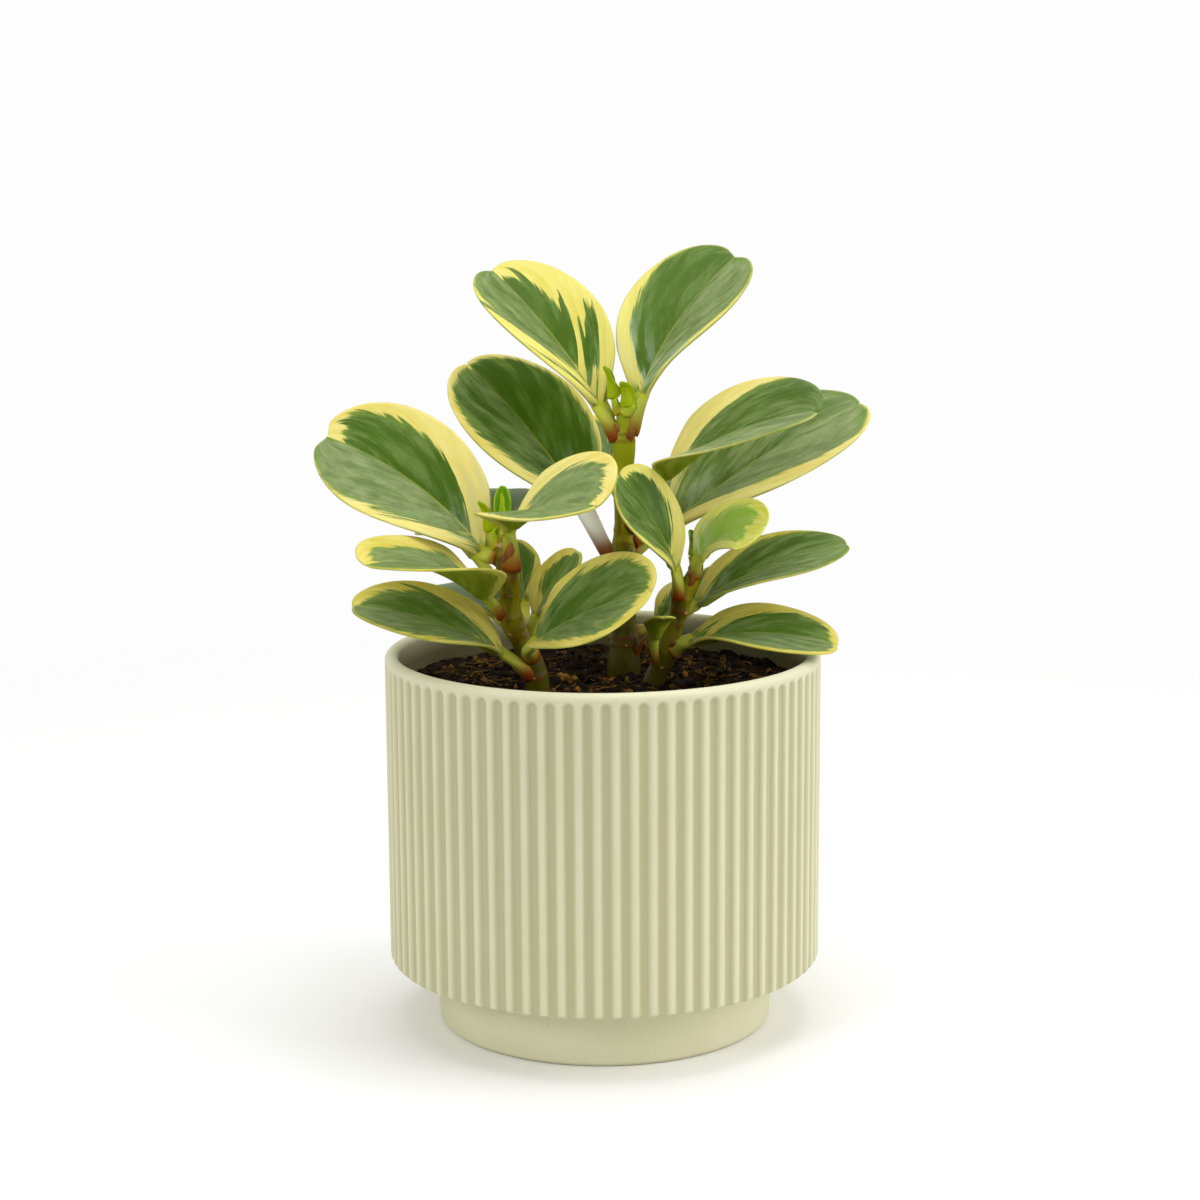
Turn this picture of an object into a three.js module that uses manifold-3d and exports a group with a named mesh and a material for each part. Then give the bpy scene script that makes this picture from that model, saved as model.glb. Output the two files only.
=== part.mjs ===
// A potted variegated baby rubber plant: thick spoon-shaped leaves on three fleshy stems, planted in dark
// peat in a fluted ceramic pot with a narrower foot. Millimetres, +Z up, and the pot's foot stands on z = 0.
// The plant's front is towards -Y.
import * as THREE from "three";
import { mergeVertices } from "three/addons/utils/BufferGeometryUtils.js";
import Module from "manifold-3d";

const wasm = await Module();
wasm.setup();

// Driving dimensions of the pot
const POT_HEIGHT = 116.5;
const POT_RADIUS = 67.2;
const WALL = 4.2;
const RIM_BAND = 1.6;
const FLUTE_COUNT = 78;
const FLUTE_DEPTH = 1.0;
const FLUTE_BAR_RADIUS = 3;
const FLUTE_TURN = 0.75;
const FLUTE_BAR_SIDES = 8;
const BODY_BOTTOM = 20;
const BODY_EDGE_ROUND = 1.6;
const FOOT_RADIUS = 52;
const FOOT_EDGE_ROUND = 1.6;
const FOOT_FLARE = 0.8;
const FLOOR_THICKNESS = 7;
const SHELF_ROUND = 6;
const INSIDE_RADIUS = POT_RADIUS - WALL;

// Soil
const SOIL_TOP = 105;
const SOIL_BUMP_HEIGHT = 0.84;
const SOIL_RINGS = 5;
const SOIL_SEGMENTS = 32;

// Clearance between pieces that touch: soil and pot, stems and soil, leaves and stems
const SEAT_GAP = 0.3;

// Leaf blades
const BLADE_THICKNESS = 1.2;
const EDGE_THICKNESS = 0.7;
const KEEL_DEPTH = 1.6;
const KEEL_LENGTH = 0.8;
const TIP_DENT = 0.04;
const TIP_DENT_SPREAD = 0.15;
const VEIN_SWEEP = 1.8;
const VEIN_CURVE = 1.3;
const RIPPLE = 0.5;
const RIPPLE_WAVES = 6;
const RIPPLE_SHIFT = 2.4;
const BASE_FOLD = 28;
const BLADE_ROWS = 11;
const FIRST_ROW = 8;
const LAST_ROW = 86;
const ACROSS = [-1, -0.5, 0, 0.5, 1];

// Petioles: the radius is that of a leaf of the usual width, and the root is a little thicker
const PETIOLE_RADIUS = 2.1;
const USUAL_WIDTH = 38;
const PETIOLE_ROOT = 1.2;
const PETIOLE_ROWS = 4;
const PETIOLE_RISE = 0.8;
const PETIOLE_BEND = 0.4;
const JOINT_LENGTH = 0.2;

const STEM_SIDES = 12;

const COLOURS = {
  pot: 0xc9c6a1,
  soil: 0x2e231b,
  stem: 0x6b6414,
  leaf: 0x557f3f,
};

const UP = new THREE.Vector3(0, 0, 1);
const vec = (xyz) => new THREE.Vector3(...xyz);
const degrees = THREE.MathUtils.degToRad;
const smooth = (from, to, x) => THREE.MathUtils.smoothstep(x, from, to);

// The stems' centre lines from under the soil up to their tips, with the radius at each point.
const STEMS = {
  left: [
    { at: [-19, -10, 84], radius: 3.2 },
    { at: [-19.5, -10, 100], radius: 3.4 },
    { at: [-20, -10.5, 107], radius: 3.6 },
    { at: [-21.5, -11, 114], radius: 3.6 },
    { at: [-25, -12, 122], radius: 3.1 },
    { at: [-27.5, -13, 128], radius: 3.6 },
    { at: [-28, -13.5, 134], radius: 3.0 },
    { at: [-28.5, -14, 143], radius: 3.5 },
    { at: [-29.5, -13, 148], radius: 3.0 },
    { at: [-30.5, -12, 153], radius: 1.8 },
  ],
  centre: [
    { at: [7, 14, 84], radius: 4.0 },
    { at: [6.5, 14, 100], radius: 5 },
    { at: [6.5, 14.5, 107], radius: 5.3 },
    { at: [6.8, 15, 114], radius: 4.7 },
    { at: [6.8, 15.5, 124], radius: 3.7 },
    { at: [6.8, 16, 138], radius: 3.4 },
    { at: [6.8, 16, 144], radius: 3.7 },
    { at: [7, 16.5, 152], radius: 3.3 },
    { at: [7, 17, 168], radius: 3.1 },
    { at: [7, 17, 177], radius: 3.5 },
    { at: [7.2, 17, 184], radius: 2.8 },
    { at: [6.5, 17, 190], radius: 1.8 },
  ],
  right: [
    { at: [13.5, -3, 86], radius: 3.0 },
    { at: [14.5, -3, 100], radius: 3.2 },
    { at: [15.5, -3, 106], radius: 3.4 },
    { at: [17.5, -3.5, 111], radius: 3.2 },
    { at: [19.5, -4, 116], radius: 3.5 },
    { at: [21.5, -4, 123], radius: 2.9 },
    { at: [23.3, -4, 129], radius: 3.0 },
    { at: [24.5, -4, 134], radius: 3.4 },
    { at: [27, -4, 138], radius: 2.6 },
    { at: [29.5, -3.5, 143], radius: 1.6 },
  ],
};

// Leaves, stem by stem. node: height on the stem where the petiole leaves it. joint: where the petiole
// becomes the blade. tip: the blade's far end. roll: turn about the line from joint to tip, the right margin
// going down. fold: rise of each half above flat. arch: height of the midrib's middle over the line from
// joint to tip. sway: sideways bow of the midrib, to the right. obovate: how far the widest place lies
// towards the tip.
const USUAL_LEAF = { roll: 0, fold: 6, arch: 3, sway: 0, obovate: 0.45 };
const USUAL_BUD = { fold: 30, arch: 0.5 };
const LEAVES = {
  centre: [
    {
      name: "top_left", node: 178, joint: [-0.5, 18, 190], tip: [-34, 40, 230],
      width: 39, roll: -22, fold: 15,
    },
    {
      name: "top_right", node: 180, joint: [12, 18, 193], tip: [42.5, 42, 234],
      width: 41, roll: 14, fold: 13, arch: 2, sway: -2.5,
    },
    {
      name: "upper_left", node: 138, joint: [-6.5, 22, 158.5], tip: [-42, 38, 200.5],
      width: 43.5, roll: -30, fold: 5, obovate: 0.12,
    },
    {
      name: "upper_right_front", node: 150, joint: [19.5, 10, 168.5], tip: [62, -28, 192],
      width: 42, roll: 29, fold: 12, arch: 4, obovate: 0.12,
    },
    {
      name: "upper_right_back", node: 146, joint: [22, 21, 152], tip: [81.5, 42, 187],
      width: 42, roll: 26, fold: 5, obovate: 0.12,
    },
    { name: "back_upper", node: 158, joint: [3, 29, 165], tip: [-25, 66, 182], width: 33, arch: 4 },
    { name: "back_right_mid", node: 140, joint: [15, 28, 147], tip: [43, 68, 162], width: 34, arch: 4 },
    { name: "back_right_low", node: 116, joint: [18, 26, 120], tip: [44, 56, 127], width: 24 },
    { name: "back_left_low", node: 114, joint: [0, 26, 119], tip: [-26, 54, 127], width: 32, arch: 4 },
    { ...USUAL_BUD, name: "young_centre_a", node: 187, joint: [4, 17, 193], tip: [1, 17, 202], width: 5 },
    { ...USUAL_BUD, name: "young_centre_b", node: 187, joint: [8, 15, 192], tip: [6, 13, 197], width: 6 },
  ],
  left: [
    {
      name: "left_top", node: 146, joint: [-36, -10, 149], tip: [-84, 4, 182],
      width: 42, roll: -45, fold: 9, sway: 3, obovate: 0.3,
    },
    {
      name: "front_cup", node: 142, joint: [-27, -16, 157.5], tip: [-2, -52, 168],
      width: 45, roll: 23, fold: 14, obovate: 0.15,
    },
    {
      name: "left_mid", node: 128, joint: [-35.5, -16, 136], tip: [-66.5, -52, 151.5],
      width: 37, roll: -12, fold: 10, arch: 4, obovate: -0.1,
    },
    {
      name: "left_low", node: 109, joint: [-30.5, -18, 119], tip: [-73, -28, 135],
      width: 33, roll: -22, obovate: 0.05,
    },
    {
      name: "front_centre", node: 115.4, joint: [-20, -22, 123], tip: [13.5, -45, 142],
      width: 43, roll: 34, arch: 1.5, sway: -0.5, obovate: 0.1,
    },
    {
      name: "small_front", node: 116, joint: [-20.5, -6.5, 128], tip: [-8, -2.5, 147],
      width: 17, roll: 20, arch: 1,
    },
    { name: "small_behind", node: 122, joint: [-24.3, 4, 130.5], tip: [-27, 10, 148.5], width: 13, arch: 1 },
    { name: "left_back_mid", node: 135, joint: [-38.5, -1, 145.5], tip: [-55, 14, 150.5], width: 19 },
    { name: "left_back_low", node: 124, joint: [-31, -4, 127], tip: [-47, 30, 132], width: 27, roll: -10 },
    { name: "left_back_top", node: 140, joint: [-30.5, 3, 150.5], tip: [-31, 44, 160], width: 25 },
    { ...USUAL_BUD, name: "young_left_a", node: 150, joint: [-30, -10, 157], tip: [-30, -8, 168], width: 6 },
    { ...USUAL_BUD, name: "young_left_b", node: 149, joint: [-34, -11, 156], tip: [-37, -12, 164], width: 6 },
  ],
  right: [
    {
      name: "right_top_left", node: 132, joint: [22.3, -8, 142.5], tip: [5.5, -16.5, 172],
      width: 27, roll: -58, arch: 2, obovate: 0.6,
    },
    {
      name: "right_small", node: 139, joint: [29.5, -6, 145.5], tip: [49, -8, 155.5],
      width: 23, roll: 34, arch: 1, sway: -4,
    },
    {
      name: "right_mid", node: 128, joint: [29, -2, 130.5], tip: [74, 2, 148],
      width: 27.5, roll: 20, obovate: 0.1,
    },
    { name: "right_low", node: 115, joint: [27, -6, 120], tip: [70, -14, 120], width: 31, roll: 16 },
    { name: "right_back", node: 124, joint: [27.5, 6, 128], tip: [50, 34, 135], width: 20 },
    { name: "centre_small", node: 111, joint: [15.8, -9.5, 122], tip: [18.3, -21, 130], width: 10, arch: 1 },
    { ...USUAL_BUD, name: "young_right", node: 141, joint: [28.5, -1, 146], tip: [27, 1, 153], width: 5 },
  ],
};

// Turns a list of rings, each with the same number of points, into one closed surface. Each ring goes over
// the top from left to right and back along the underside, so that both faces of a blade are split alike.
function closedLoft(rings) {
  const count = rings[0].length;
  const half = count / 2;
  const positions = rings.flat().flatMap((p) => [p.x, p.y, p.z]);
  const index = [];
  const at = (ring, point) => ring * count + (point % count);
  for (let ring = 0; ring < rings.length - 1; ring++) {
    for (let point = 0; point < count; point++) {
      const a = at(ring, point);
      const b = at(ring, point + 1);
      const c = at(ring + 1, point + 1);
      const d = at(ring + 1, point);
      const onTop = point < half;
      if (onTop) index.push(a, b, c, a, c, d);
      else index.push(a, b, d, b, c, d);
    }
  }
  const last = rings.length - 1;
  for (let point = 0; point < half - 1; point++) {
    const across = count - 1 - point;
    index.push(at(0, point), at(0, across), at(0, point + 1));
    index.push(at(0, point + 1), at(0, across), at(0, across - 1));
    index.push(at(last, point), at(last, point + 1), at(last, across));
    index.push(at(last, point + 1), at(last, across - 1), at(last, across));
  }
  const geometry = new THREE.BufferGeometry();
  geometry.setAttribute("position", new THREE.Float32BufferAttribute(positions, 3));
  geometry.setIndex(index);
  return geometry;
}

// A round ring of points about a centre, in closedLoft's order.
function roundRing(centre, side, normal, radius, count) {
  const ring = [];
  for (let k = 0; k < count; k++) {
    const angle = Math.PI * (1 - (2 * k + 1) / count);
    const p = centre.clone().addScaledVector(side, radius * Math.cos(angle));
    ring.push(p.addScaledVector(normal, radius * Math.sin(angle)));
  }
  return ring;
}

function solidOf(geometry) {
  const bare = geometry.clone();
  bare.deleteAttribute("normal");
  bare.deleteAttribute("uv");
  const merged = mergeVertices(bare, 1e-4);
  const corners = merged.index.array;
  const kept = [];
  for (let i = 0; i < corners.length; i += 3) {
    const [a, b, c] = corners.slice(i, i + 3);
    if (a !== b && b !== c && c !== a) kept.push(a, b, c);
  }
  const vertProperties = merged.attributes.position.array;
  return new wasm.Manifold(new wasm.Mesh({ numProp: 3, vertProperties, triVerts: new Uint32Array(kept) }));
}

function geometryOf(solid) {
  const mesh = solid.getMesh();
  const geometry = new THREE.BufferGeometry();
  geometry.setAttribute("position", new THREE.BufferAttribute(mesh.vertProperties, 3));
  geometry.setIndex(new THREE.BufferAttribute(mesh.triVerts, 1));
  return geometry;
}

// A stem as a row of rings about its curve. The clearance thickens it all round and at both ends.
function stemGeometry(points, clearance = 0) {
  const curve = new THREE.CatmullRomCurve3(points.map((p) => vec(p.at)));
  const last = points.length - 1;
  const rings = points.map(({ at, radius }, i) => {
    const tangent = curve.getTangent(i / last);
    const right = new THREE.Vector3(1, 0, 0).addScaledVector(tangent, -tangent.x).normalize();
    const back = new THREE.Vector3().crossVectors(right, tangent);
    const centre = vec(at);
    if (i === 0) centre.addScaledVector(tangent, -clearance);
    if (i === last) centre.addScaledVector(tangent, clearance);
    return roundRing(centre, right, back, radius + clearance, STEM_SIDES);
  });
  return closedLoft(rings);
}

// The place on a stem's centre line at a height.
function stemPlace(points, height) {
  const above = points.findIndex((p) => p.at[2] >= height);
  const [from, to] = [points[above - 1], points[above]];
  const share = (height - from.at[2]) / (to.at[2] - from.at[2]);
  return vec(from.at).lerp(vec(to.at), share);
}

// One leaf's midrib: a line from joint to tip, arched and swayed, with the blade's own directions.
function leafFrame(leaf) {
  const joint = vec(leaf.joint);
  const chord = vec(leaf.tip).sub(joint);
  const along = chord.clone().normalize();
  const flatUp = UP.clone().addScaledVector(along, -along.z).normalize();
  const flatRight = new THREE.Vector3().crossVectors(along, flatUp);
  const roll = degrees(leaf.roll);
  const face = flatUp.clone().multiplyScalar(Math.cos(roll)).addScaledVector(flatRight, Math.sin(roll));
  const right = flatRight.clone().multiplyScalar(Math.cos(roll)).addScaledVector(flatUp, -Math.sin(roll));
  const bow = face.clone().multiplyScalar(leaf.arch).addScaledVector(right, leaf.sway);
  return {
    joint,
    face,
    point: (u) => joint.clone().addScaledVector(chord, u).addScaledVector(bow, 4 * u * (1 - u)),
    tangent: (u) => chord.clone().addScaledVector(bow, 4 - 8 * u).normalize(),
  };
}

// Half the blade's width, as a share of its greatest, at row angle b: 0 at the joint and a right angle at the
// tip.
function outlineWidth(b, obovate) {
  const width = Math.sin(b) ** (1 + obovate) * Math.cos(b);
  const widest = ((1 + obovate) / (2 + obovate)) ** ((1 + obovate) / 2) * (1 / (2 + obovate)) ** 0.5;
  return width / widest;
}

const petioleRadius = (leaf) => PETIOLE_RADIUS * Math.sqrt(leaf.width / USUAL_WIDTH);

// One row of the blade. It leaves the midrib nearer the joint than it meets the margin, as the veins do,
// and near the joint it blends into the round petiole.
function bladeRing(leaf, frame, b, ripplePhase) {
  const along = Math.sin(b) ** 2;
  const dent = TIP_DENT * Math.exp(-((Math.cos(b) / TIP_DENT_SPREAD) ** 2));
  const reach = (1 + TIP_DENT) * along - dent;
  const start = along ** VEIN_SWEEP;
  const share = outlineWidth(b, leaf.obovate);
  const top = [];
  const under = [];
  for (const v of ACROSS) {
    const u = start + (reach - start) * Math.abs(v) ** VEIN_CURVE;
    const fold = degrees(leaf.fold + BASE_FOLD * (1 - u) ** 2);
    const tangent = frame.tangent(u);
    const normal = frame.face.clone().addScaledVector(tangent, -frame.face.dot(tangent)).normalize();
    const side = new THREE.Vector3().crossVectors(tangent, normal);
    const out = (share * v * leaf.width) / 2;
    const ripple = RIPPLE * Math.sin(RIPPLE_WAVES * b + ripplePhase + v) * (share * v) ** 2;
    const middle = frame
      .point(u)
      .addScaledVector(side, out * Math.cos(fold))
      .addScaledVector(normal, Math.abs(out) * Math.sin(fold) + ripple);
    const lean = -Math.sign(v) * Math.sin(fold);
    const upwards = normal.clone().multiplyScalar(Math.cos(fold)).addScaledVector(side, lean);
    const keel = KEEL_DEPTH * (1 - Math.abs(v)) * (1 - smooth(0, KEEL_LENGTH, u));
    const half = THREE.MathUtils.lerp(BLADE_THICKNESS, EDGE_THICKNESS, Math.abs(v)) / 2;
    top.push(middle.clone().addScaledVector(upwards, half));
    under.unshift(middle.clone().addScaledVector(upwards, -half - keel));
  }
  const tangent = frame.tangent(start);
  const normal = frame.face.clone().addScaledVector(tangent, -frame.face.dot(tangent)).normalize();
  const side = new THREE.Vector3().crossVectors(tangent, normal);
  const round = roundRing(frame.point(start), side, normal, petioleRadius(leaf), 2 * ACROSS.length);
  const blend = smooth(0, JOINT_LENGTH, along);
  return [...top, ...under].map((p, k) => round[k].lerp(p, blend));
}

// The petiole leaves the stem's axis upwards and outwards and runs into the midrib.
function petioleRings(leaf, frame, stem) {
  const root = stemPlace(stem, leaf.node);
  const run = frame.joint.distanceTo(root);
  const outward = frame.joint.clone().sub(root).setZ(0).normalize();
  const away = outward.addScaledVector(UP, PETIOLE_RISE).normalize();
  const curve = new THREE.CubicBezierCurve3(
    root,
    root.clone().addScaledVector(away, run * PETIOLE_BEND),
    frame.joint.clone().addScaledVector(frame.tangent(0), -run * PETIOLE_BEND),
    frame.joint,
  );
  const rings = [];
  const normal = frame.face.clone();
  for (let i = PETIOLE_ROWS - 1; i >= 0; i--) {
    const t = i / PETIOLE_ROWS;
    const tangent = curve.getTangent(t);
    normal.addScaledVector(tangent, -normal.dot(tangent)).normalize();
    const side = new THREE.Vector3().crossVectors(tangent, normal);
    const radius = petioleRadius(leaf) * THREE.MathUtils.lerp(PETIOLE_ROOT, 1, t);
    rings.unshift(roundRing(curve.getPoint(t), side, normal, radius, 2 * ACROSS.length));
  }
  return rings;
}

function leafGeometry(leaf, stem, number) {
  const frame = leafFrame(leaf);
  const rings = petioleRings(leaf, frame, stem);
  for (let row = 0; row < BLADE_ROWS; row++) {
    const b = degrees(THREE.MathUtils.lerp(FIRST_ROW, LAST_ROW, row / (BLADE_ROWS - 1)));
    rings.push(bladeRing(leaf, frame, b, number * RIPPLE_SHIFT));
  }
  return closedLoft(rings);
}

// Points along an arc in the profile's plane (radius, height), from one angle to another.
function arc(centreRadius, centreHeight, radius, from, to, steps) {
  const points = [];
  for (let i = 0; i <= steps; i++) {
    const angle = degrees(THREE.MathUtils.lerp(from, to, i / steps));
    const x = centreRadius + radius * Math.cos(angle);
    points.push(new THREE.Vector2(x, centreHeight + radius * Math.sin(angle)));
  }
  return points;
}

function turned(profile, segments) {
  return new THREE.LatheGeometry(profile, segments).rotateX(Math.PI / 2);
}

// One flute's groove, as the round bar that would mill it, with a domed top end.
function fluteCutter() {
  const bottom = BODY_BOTTOM - FLUTE_BAR_RADIUS;
  const domeCentre = POT_HEIGHT - RIM_BAND - FLUTE_BAR_RADIUS;
  const profile = [
    new THREE.Vector2(0, bottom),
    new THREE.Vector2(FLUTE_BAR_RADIUS, bottom),
    ...arc(0, domeCentre, FLUTE_BAR_RADIUS, 0, 90, 2),
  ];
  return turned(profile, FLUTE_BAR_SIDES);
}

// The pot's inside, from the rim's inner edge down to the middle of its floor, moved inwards by a clearance.
function insideProfile(top, clearance) {
  const wall = INSIDE_RADIUS - clearance;
  const well = FOOT_RADIUS - WALL - clearance;
  const shelf = BODY_BOTTOM + WALL + clearance;
  const floor = FLOOR_THICKNESS + clearance;
  return [
    new THREE.Vector2(wall, top),
    ...arc(wall - SHELF_ROUND, shelf + SHELF_ROUND, SHELF_ROUND, 0, -90, 2),
    new THREE.Vector2(well, shelf),
    new THREE.Vector2(well, floor),
    new THREE.Vector2(0, floor),
  ];
}

function potGeometry() {
  const lip = WALL / 2;
  const profile = [
    new THREE.Vector2(0, 0),
    ...arc(FOOT_RADIUS - FOOT_EDGE_ROUND, FOOT_EDGE_ROUND, FOOT_EDGE_ROUND, -90, 0, 2),
    new THREE.Vector2(FOOT_RADIUS + FOOT_FLARE, BODY_BOTTOM),
    ...arc(POT_RADIUS - BODY_EDGE_ROUND, BODY_BOTTOM + BODY_EDGE_ROUND, BODY_EDGE_ROUND, -90, 0, 2),
    ...arc(POT_RADIUS - lip, POT_HEIGHT - lip, lip, 0, 180, 4),
    ...insideProfile(POT_HEIGHT - WALL, 0),
  ];
  let pot = solidOf(turned(profile, FLUTE_COUNT));
  const cutter = fluteCutter();
  const barDistance = POT_RADIUS - FLUTE_DEPTH + FLUTE_BAR_RADIUS;
  const turn = degrees(FLUTE_TURN);
  for (let i = 0; i < FLUTE_COUNT; i++) {
    const angle = (2 * Math.PI * (i + 0.5)) / FLUTE_COUNT + turn;
    const groove = cutter.clone().translate(barDistance, 0, 0).rotateZ(angle);
    pot = pot.subtract(solidOf(groove));
  }
  return geometryOf(pot);
}

// The soil's top: two crossing swells about 20 and 10 mm across.
function soilHeight(x, y) {
  const broad = Math.sin(0.31 * x + 0.7) * Math.cos(0.27 * y);
  const narrow = 0.6 * Math.sin(0.53 * y - 0.41 * x);
  return SOIL_TOP + SOIL_BUMP_HEIGHT * (broad + narrow);
}

// The root ball fills the pot with a small clearance. Its top is crumbly, and each stem stands in a hole.
function soilGeometry() {
  const profile = insideProfile(SOIL_TOP, SEAT_GAP).reverse();
  for (let ring = SOIL_RINGS - 1; ring >= 0; ring--) {
    profile.push(new THREE.Vector2(((INSIDE_RADIUS - SEAT_GAP) * ring) / SOIL_RINGS, SOIL_TOP));
  }
  const geometry = turned(profile, SOIL_SEGMENTS);
  const position = geometry.attributes.position;
  for (let i = 0; i < position.count; i++) {
    const onTop = position.getZ(i) > SOIL_TOP - 0.01;
    if (onTop) position.setZ(i, soilHeight(position.getX(i), position.getY(i)));
  }
  let soil = solidOf(geometry);
  for (const points of Object.values(STEMS)) soil = soil.subtract(solidOf(stemGeometry(points, SEAT_GAP)));
  return geometryOf(soil);
}

const standardMaterial = (color, roughness) =>
  new THREE.MeshStandardMaterial({ color, roughness, metalness: 0 });
const potMaterial = standardMaterial(COLOURS.pot, 0.75);
const soilMaterial = standardMaterial(COLOURS.soil, 0.95);
const stemMaterial = standardMaterial(COLOURS.stem, 0.5);
const leafMaterial = standardMaterial(COLOURS.leaf, 0.4);

function addMesh(group, name, geometry, material) {
  const mesh = new THREE.Mesh(geometry, material);
  mesh.name = name;
  group.add(mesh);
}

const holder = new THREE.Group();
addMesh(holder, "pot", potGeometry(), potMaterial);
addMesh(holder, "soil", soilGeometry(), soilMaterial);

// Each stem carries its leaves. A leaf's root is cut back to the stem's skin, and the clearance lies between.
const plant = new THREE.Group();
let leafNumber = 0;
for (const [side, stem] of Object.entries(STEMS)) {
  addMesh(plant, `stem_${side}`, stemGeometry(stem), stemMaterial);
  const hole = solidOf(stemGeometry(stem, SEAT_GAP));
  for (const own of LEAVES[side]) {
    const leaf = { ...USUAL_LEAF, ...own };
    const solid = solidOf(leafGeometry(leaf, stem, leafNumber)).subtract(hole);
    addMesh(plant, `leaf_${leaf.name}`, geometryOf(solid), leafMaterial);
    leafNumber += 1;
  }
}

const pottedPlant = new THREE.Group();
pottedPlant.add(holder, plant);

export default pottedPlant;
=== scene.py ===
# %% [markdown]
# # A potted variegated baby rubber plant
# The object is a small bushy house plant with thick spoon-shaped leaves, deep green in the middle and cream
# at the margin, on three fleshy stems. It is planted in dark peat in a sage-green pot with upright flutes.
# A solid model of it is loaded first. It stays the measure for every place and size, and each piece made
# here takes the place of one of its solids, with finer shapes and real finishes. Blender works in metres,
# and the plant's own measures are easier to read in millimetres, so lists of measures are in millimetres
# and are scaled as a mesh is made.

# %% The solid model
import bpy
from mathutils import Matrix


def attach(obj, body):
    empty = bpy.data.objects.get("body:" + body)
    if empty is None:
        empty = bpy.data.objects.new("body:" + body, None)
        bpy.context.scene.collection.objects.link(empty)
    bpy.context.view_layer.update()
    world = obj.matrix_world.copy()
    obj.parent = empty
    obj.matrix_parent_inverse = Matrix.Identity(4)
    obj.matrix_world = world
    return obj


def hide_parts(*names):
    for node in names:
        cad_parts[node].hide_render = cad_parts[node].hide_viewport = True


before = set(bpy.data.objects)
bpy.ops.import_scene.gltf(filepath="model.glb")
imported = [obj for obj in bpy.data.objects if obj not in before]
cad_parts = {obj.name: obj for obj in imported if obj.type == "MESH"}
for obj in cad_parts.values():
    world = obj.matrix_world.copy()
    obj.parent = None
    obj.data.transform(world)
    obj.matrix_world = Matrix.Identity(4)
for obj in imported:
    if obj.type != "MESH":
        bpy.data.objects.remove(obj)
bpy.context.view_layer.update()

# %% Units, colours and small sums
import math
import bpy
import numpy as np
from mathutils import Matrix, Vector

MM = 0.001
BODY = "root"


def seen(red, green, blue):
    """A colour as it is seen on a screen, 0 to 255, in the linear values that Blender mixes."""
    share = np.array([red, green, blue]) / 255
    linear = np.where(share <= 0.04045, share / 12.92, ((share + 0.055) / 1.055) ** 2.4)
    return (*linear.tolist(), 1.0)


def unit(vectors):
    return vectors / np.linalg.norm(vectors, axis=-1, keepdims=True)


def smoothstep(low, high, value):
    share = np.clip((value - low) / (high - low), 0, 1)
    return share * share * (3 - 2 * share)


# %% [markdown]
# ## The camera
# A product photograph is usually taken from a little above, with a long lens, so that upright lines stay
# upright. The camera's place was found from the two ellipses of the pot's rim and foot, whose real sizes
# are known. It is made before anything else, and its matrix is written straight from three directions:
# right, up and backwards.

# %% The camera
# Its place in metres, and how far it dips, turns and leans in radians.
CAMERA_AT = (0.0, -0.763333, 0.26899)
CAMERA_DIPS = 0.178
CAMERA_TURNS = -0.001
CAMERA_LEANS = -0.006
LENS_MM = 75.56

turn, dip, lean = CAMERA_TURNS, CAMERA_DIPS, CAMERA_LEANS
forwards = Vector((math.sin(turn) * math.cos(dip), math.cos(turn) * math.cos(dip), -math.sin(dip)))
level = Vector((math.cos(turn), -math.sin(turn), 0))
upright = level.cross(forwards)
camera_right = math.cos(lean) * level + math.sin(lean) * upright
camera_up = math.cos(lean) * upright - math.sin(lean) * level
camera = bpy.data.objects.new("camera", bpy.data.cameras.new("camera"))
camera_axes = Matrix((camera_right, camera_up, -forwards)).transposed().to_4x4()
camera.matrix_world = Matrix.Translation(CAMERA_AT) @ camera_axes
camera.data.sensor_width = 36
camera.data.lens = LENS_MM
camera.data.clip_start = 0.01
bpy.context.scene.collection.objects.link(camera)
bpy.context.scene.camera = camera
print("camera at", CAMERA_AT, "with a lens of", LENS_MM, "mm")

# %% [markdown]
# ## Meshes and nodes, the plain way
# Most pieces here are lofts: rings of points, one after another, joined by four-cornered faces. Doing the
# sums with numpy first, and handing Blender the finished lists of points and faces, is quick and gives full
# control. Numbers that a material needs at each point, such as how far it is from a leaf's margin, are
# stored with the mesh as attributes. The material reads them by name, so its pattern follows the shape
# wherever the piece lies.

# %% A piece from points and faces
def new_mesh(name, points_mm, faces, attributes=None):
    """A smooth mesh from lists in millimetres, with one number or one vector at each point as asked for."""
    mesh = bpy.data.meshes.new(name)
    mesh.from_pydata((np.asarray(points_mm) * MM).tolist(), [], faces)
    for key, values in (attributes or {}).items():
        values = np.asarray(values, np.float32)
        kind, slot = ("FLOAT", "value") if values.ndim == 1 else ("FLOAT_VECTOR", "vector")
        mesh.attributes.new(key, kind, "POINT").data.foreach_set(slot, values.ravel())
    mesh.shade_smooth()
    mesh.validate()
    return mesh


def add_piece(name, mesh, material, slot, *nodes):
    """Puts a mesh into the scene as a piece of the object, and hides the solids that it stands for."""
    piece = bpy.data.objects.new(name, mesh)
    bpy.context.scene.collection.objects.link(piece)
    mesh.materials.append(material)
    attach(piece, BODY)
    if nodes:
        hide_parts(*nodes)
    return piece


def loft_faces(rings, count):
    """The faces between rings of count points each, counted ring by ring."""
    ring, point = np.meshgrid(np.arange(rings - 1), np.arange(count), indexing="ij")
    following = (point + 1) % count
    corners = [ring * count + point, ring * count + following, (ring + 1) * count + following]
    corners.append((ring + 1) * count + point)
    return np.stack([c.ravel() for c in corners], axis=1).tolist()


def capped_faces(rings, count):
    """The faces of a loft that is closed at both ends."""
    ends = [list(range(count))[::-1], list(range((rings - 1) * count, rings * count))]
    return loft_faces(rings, count) + ends


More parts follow.
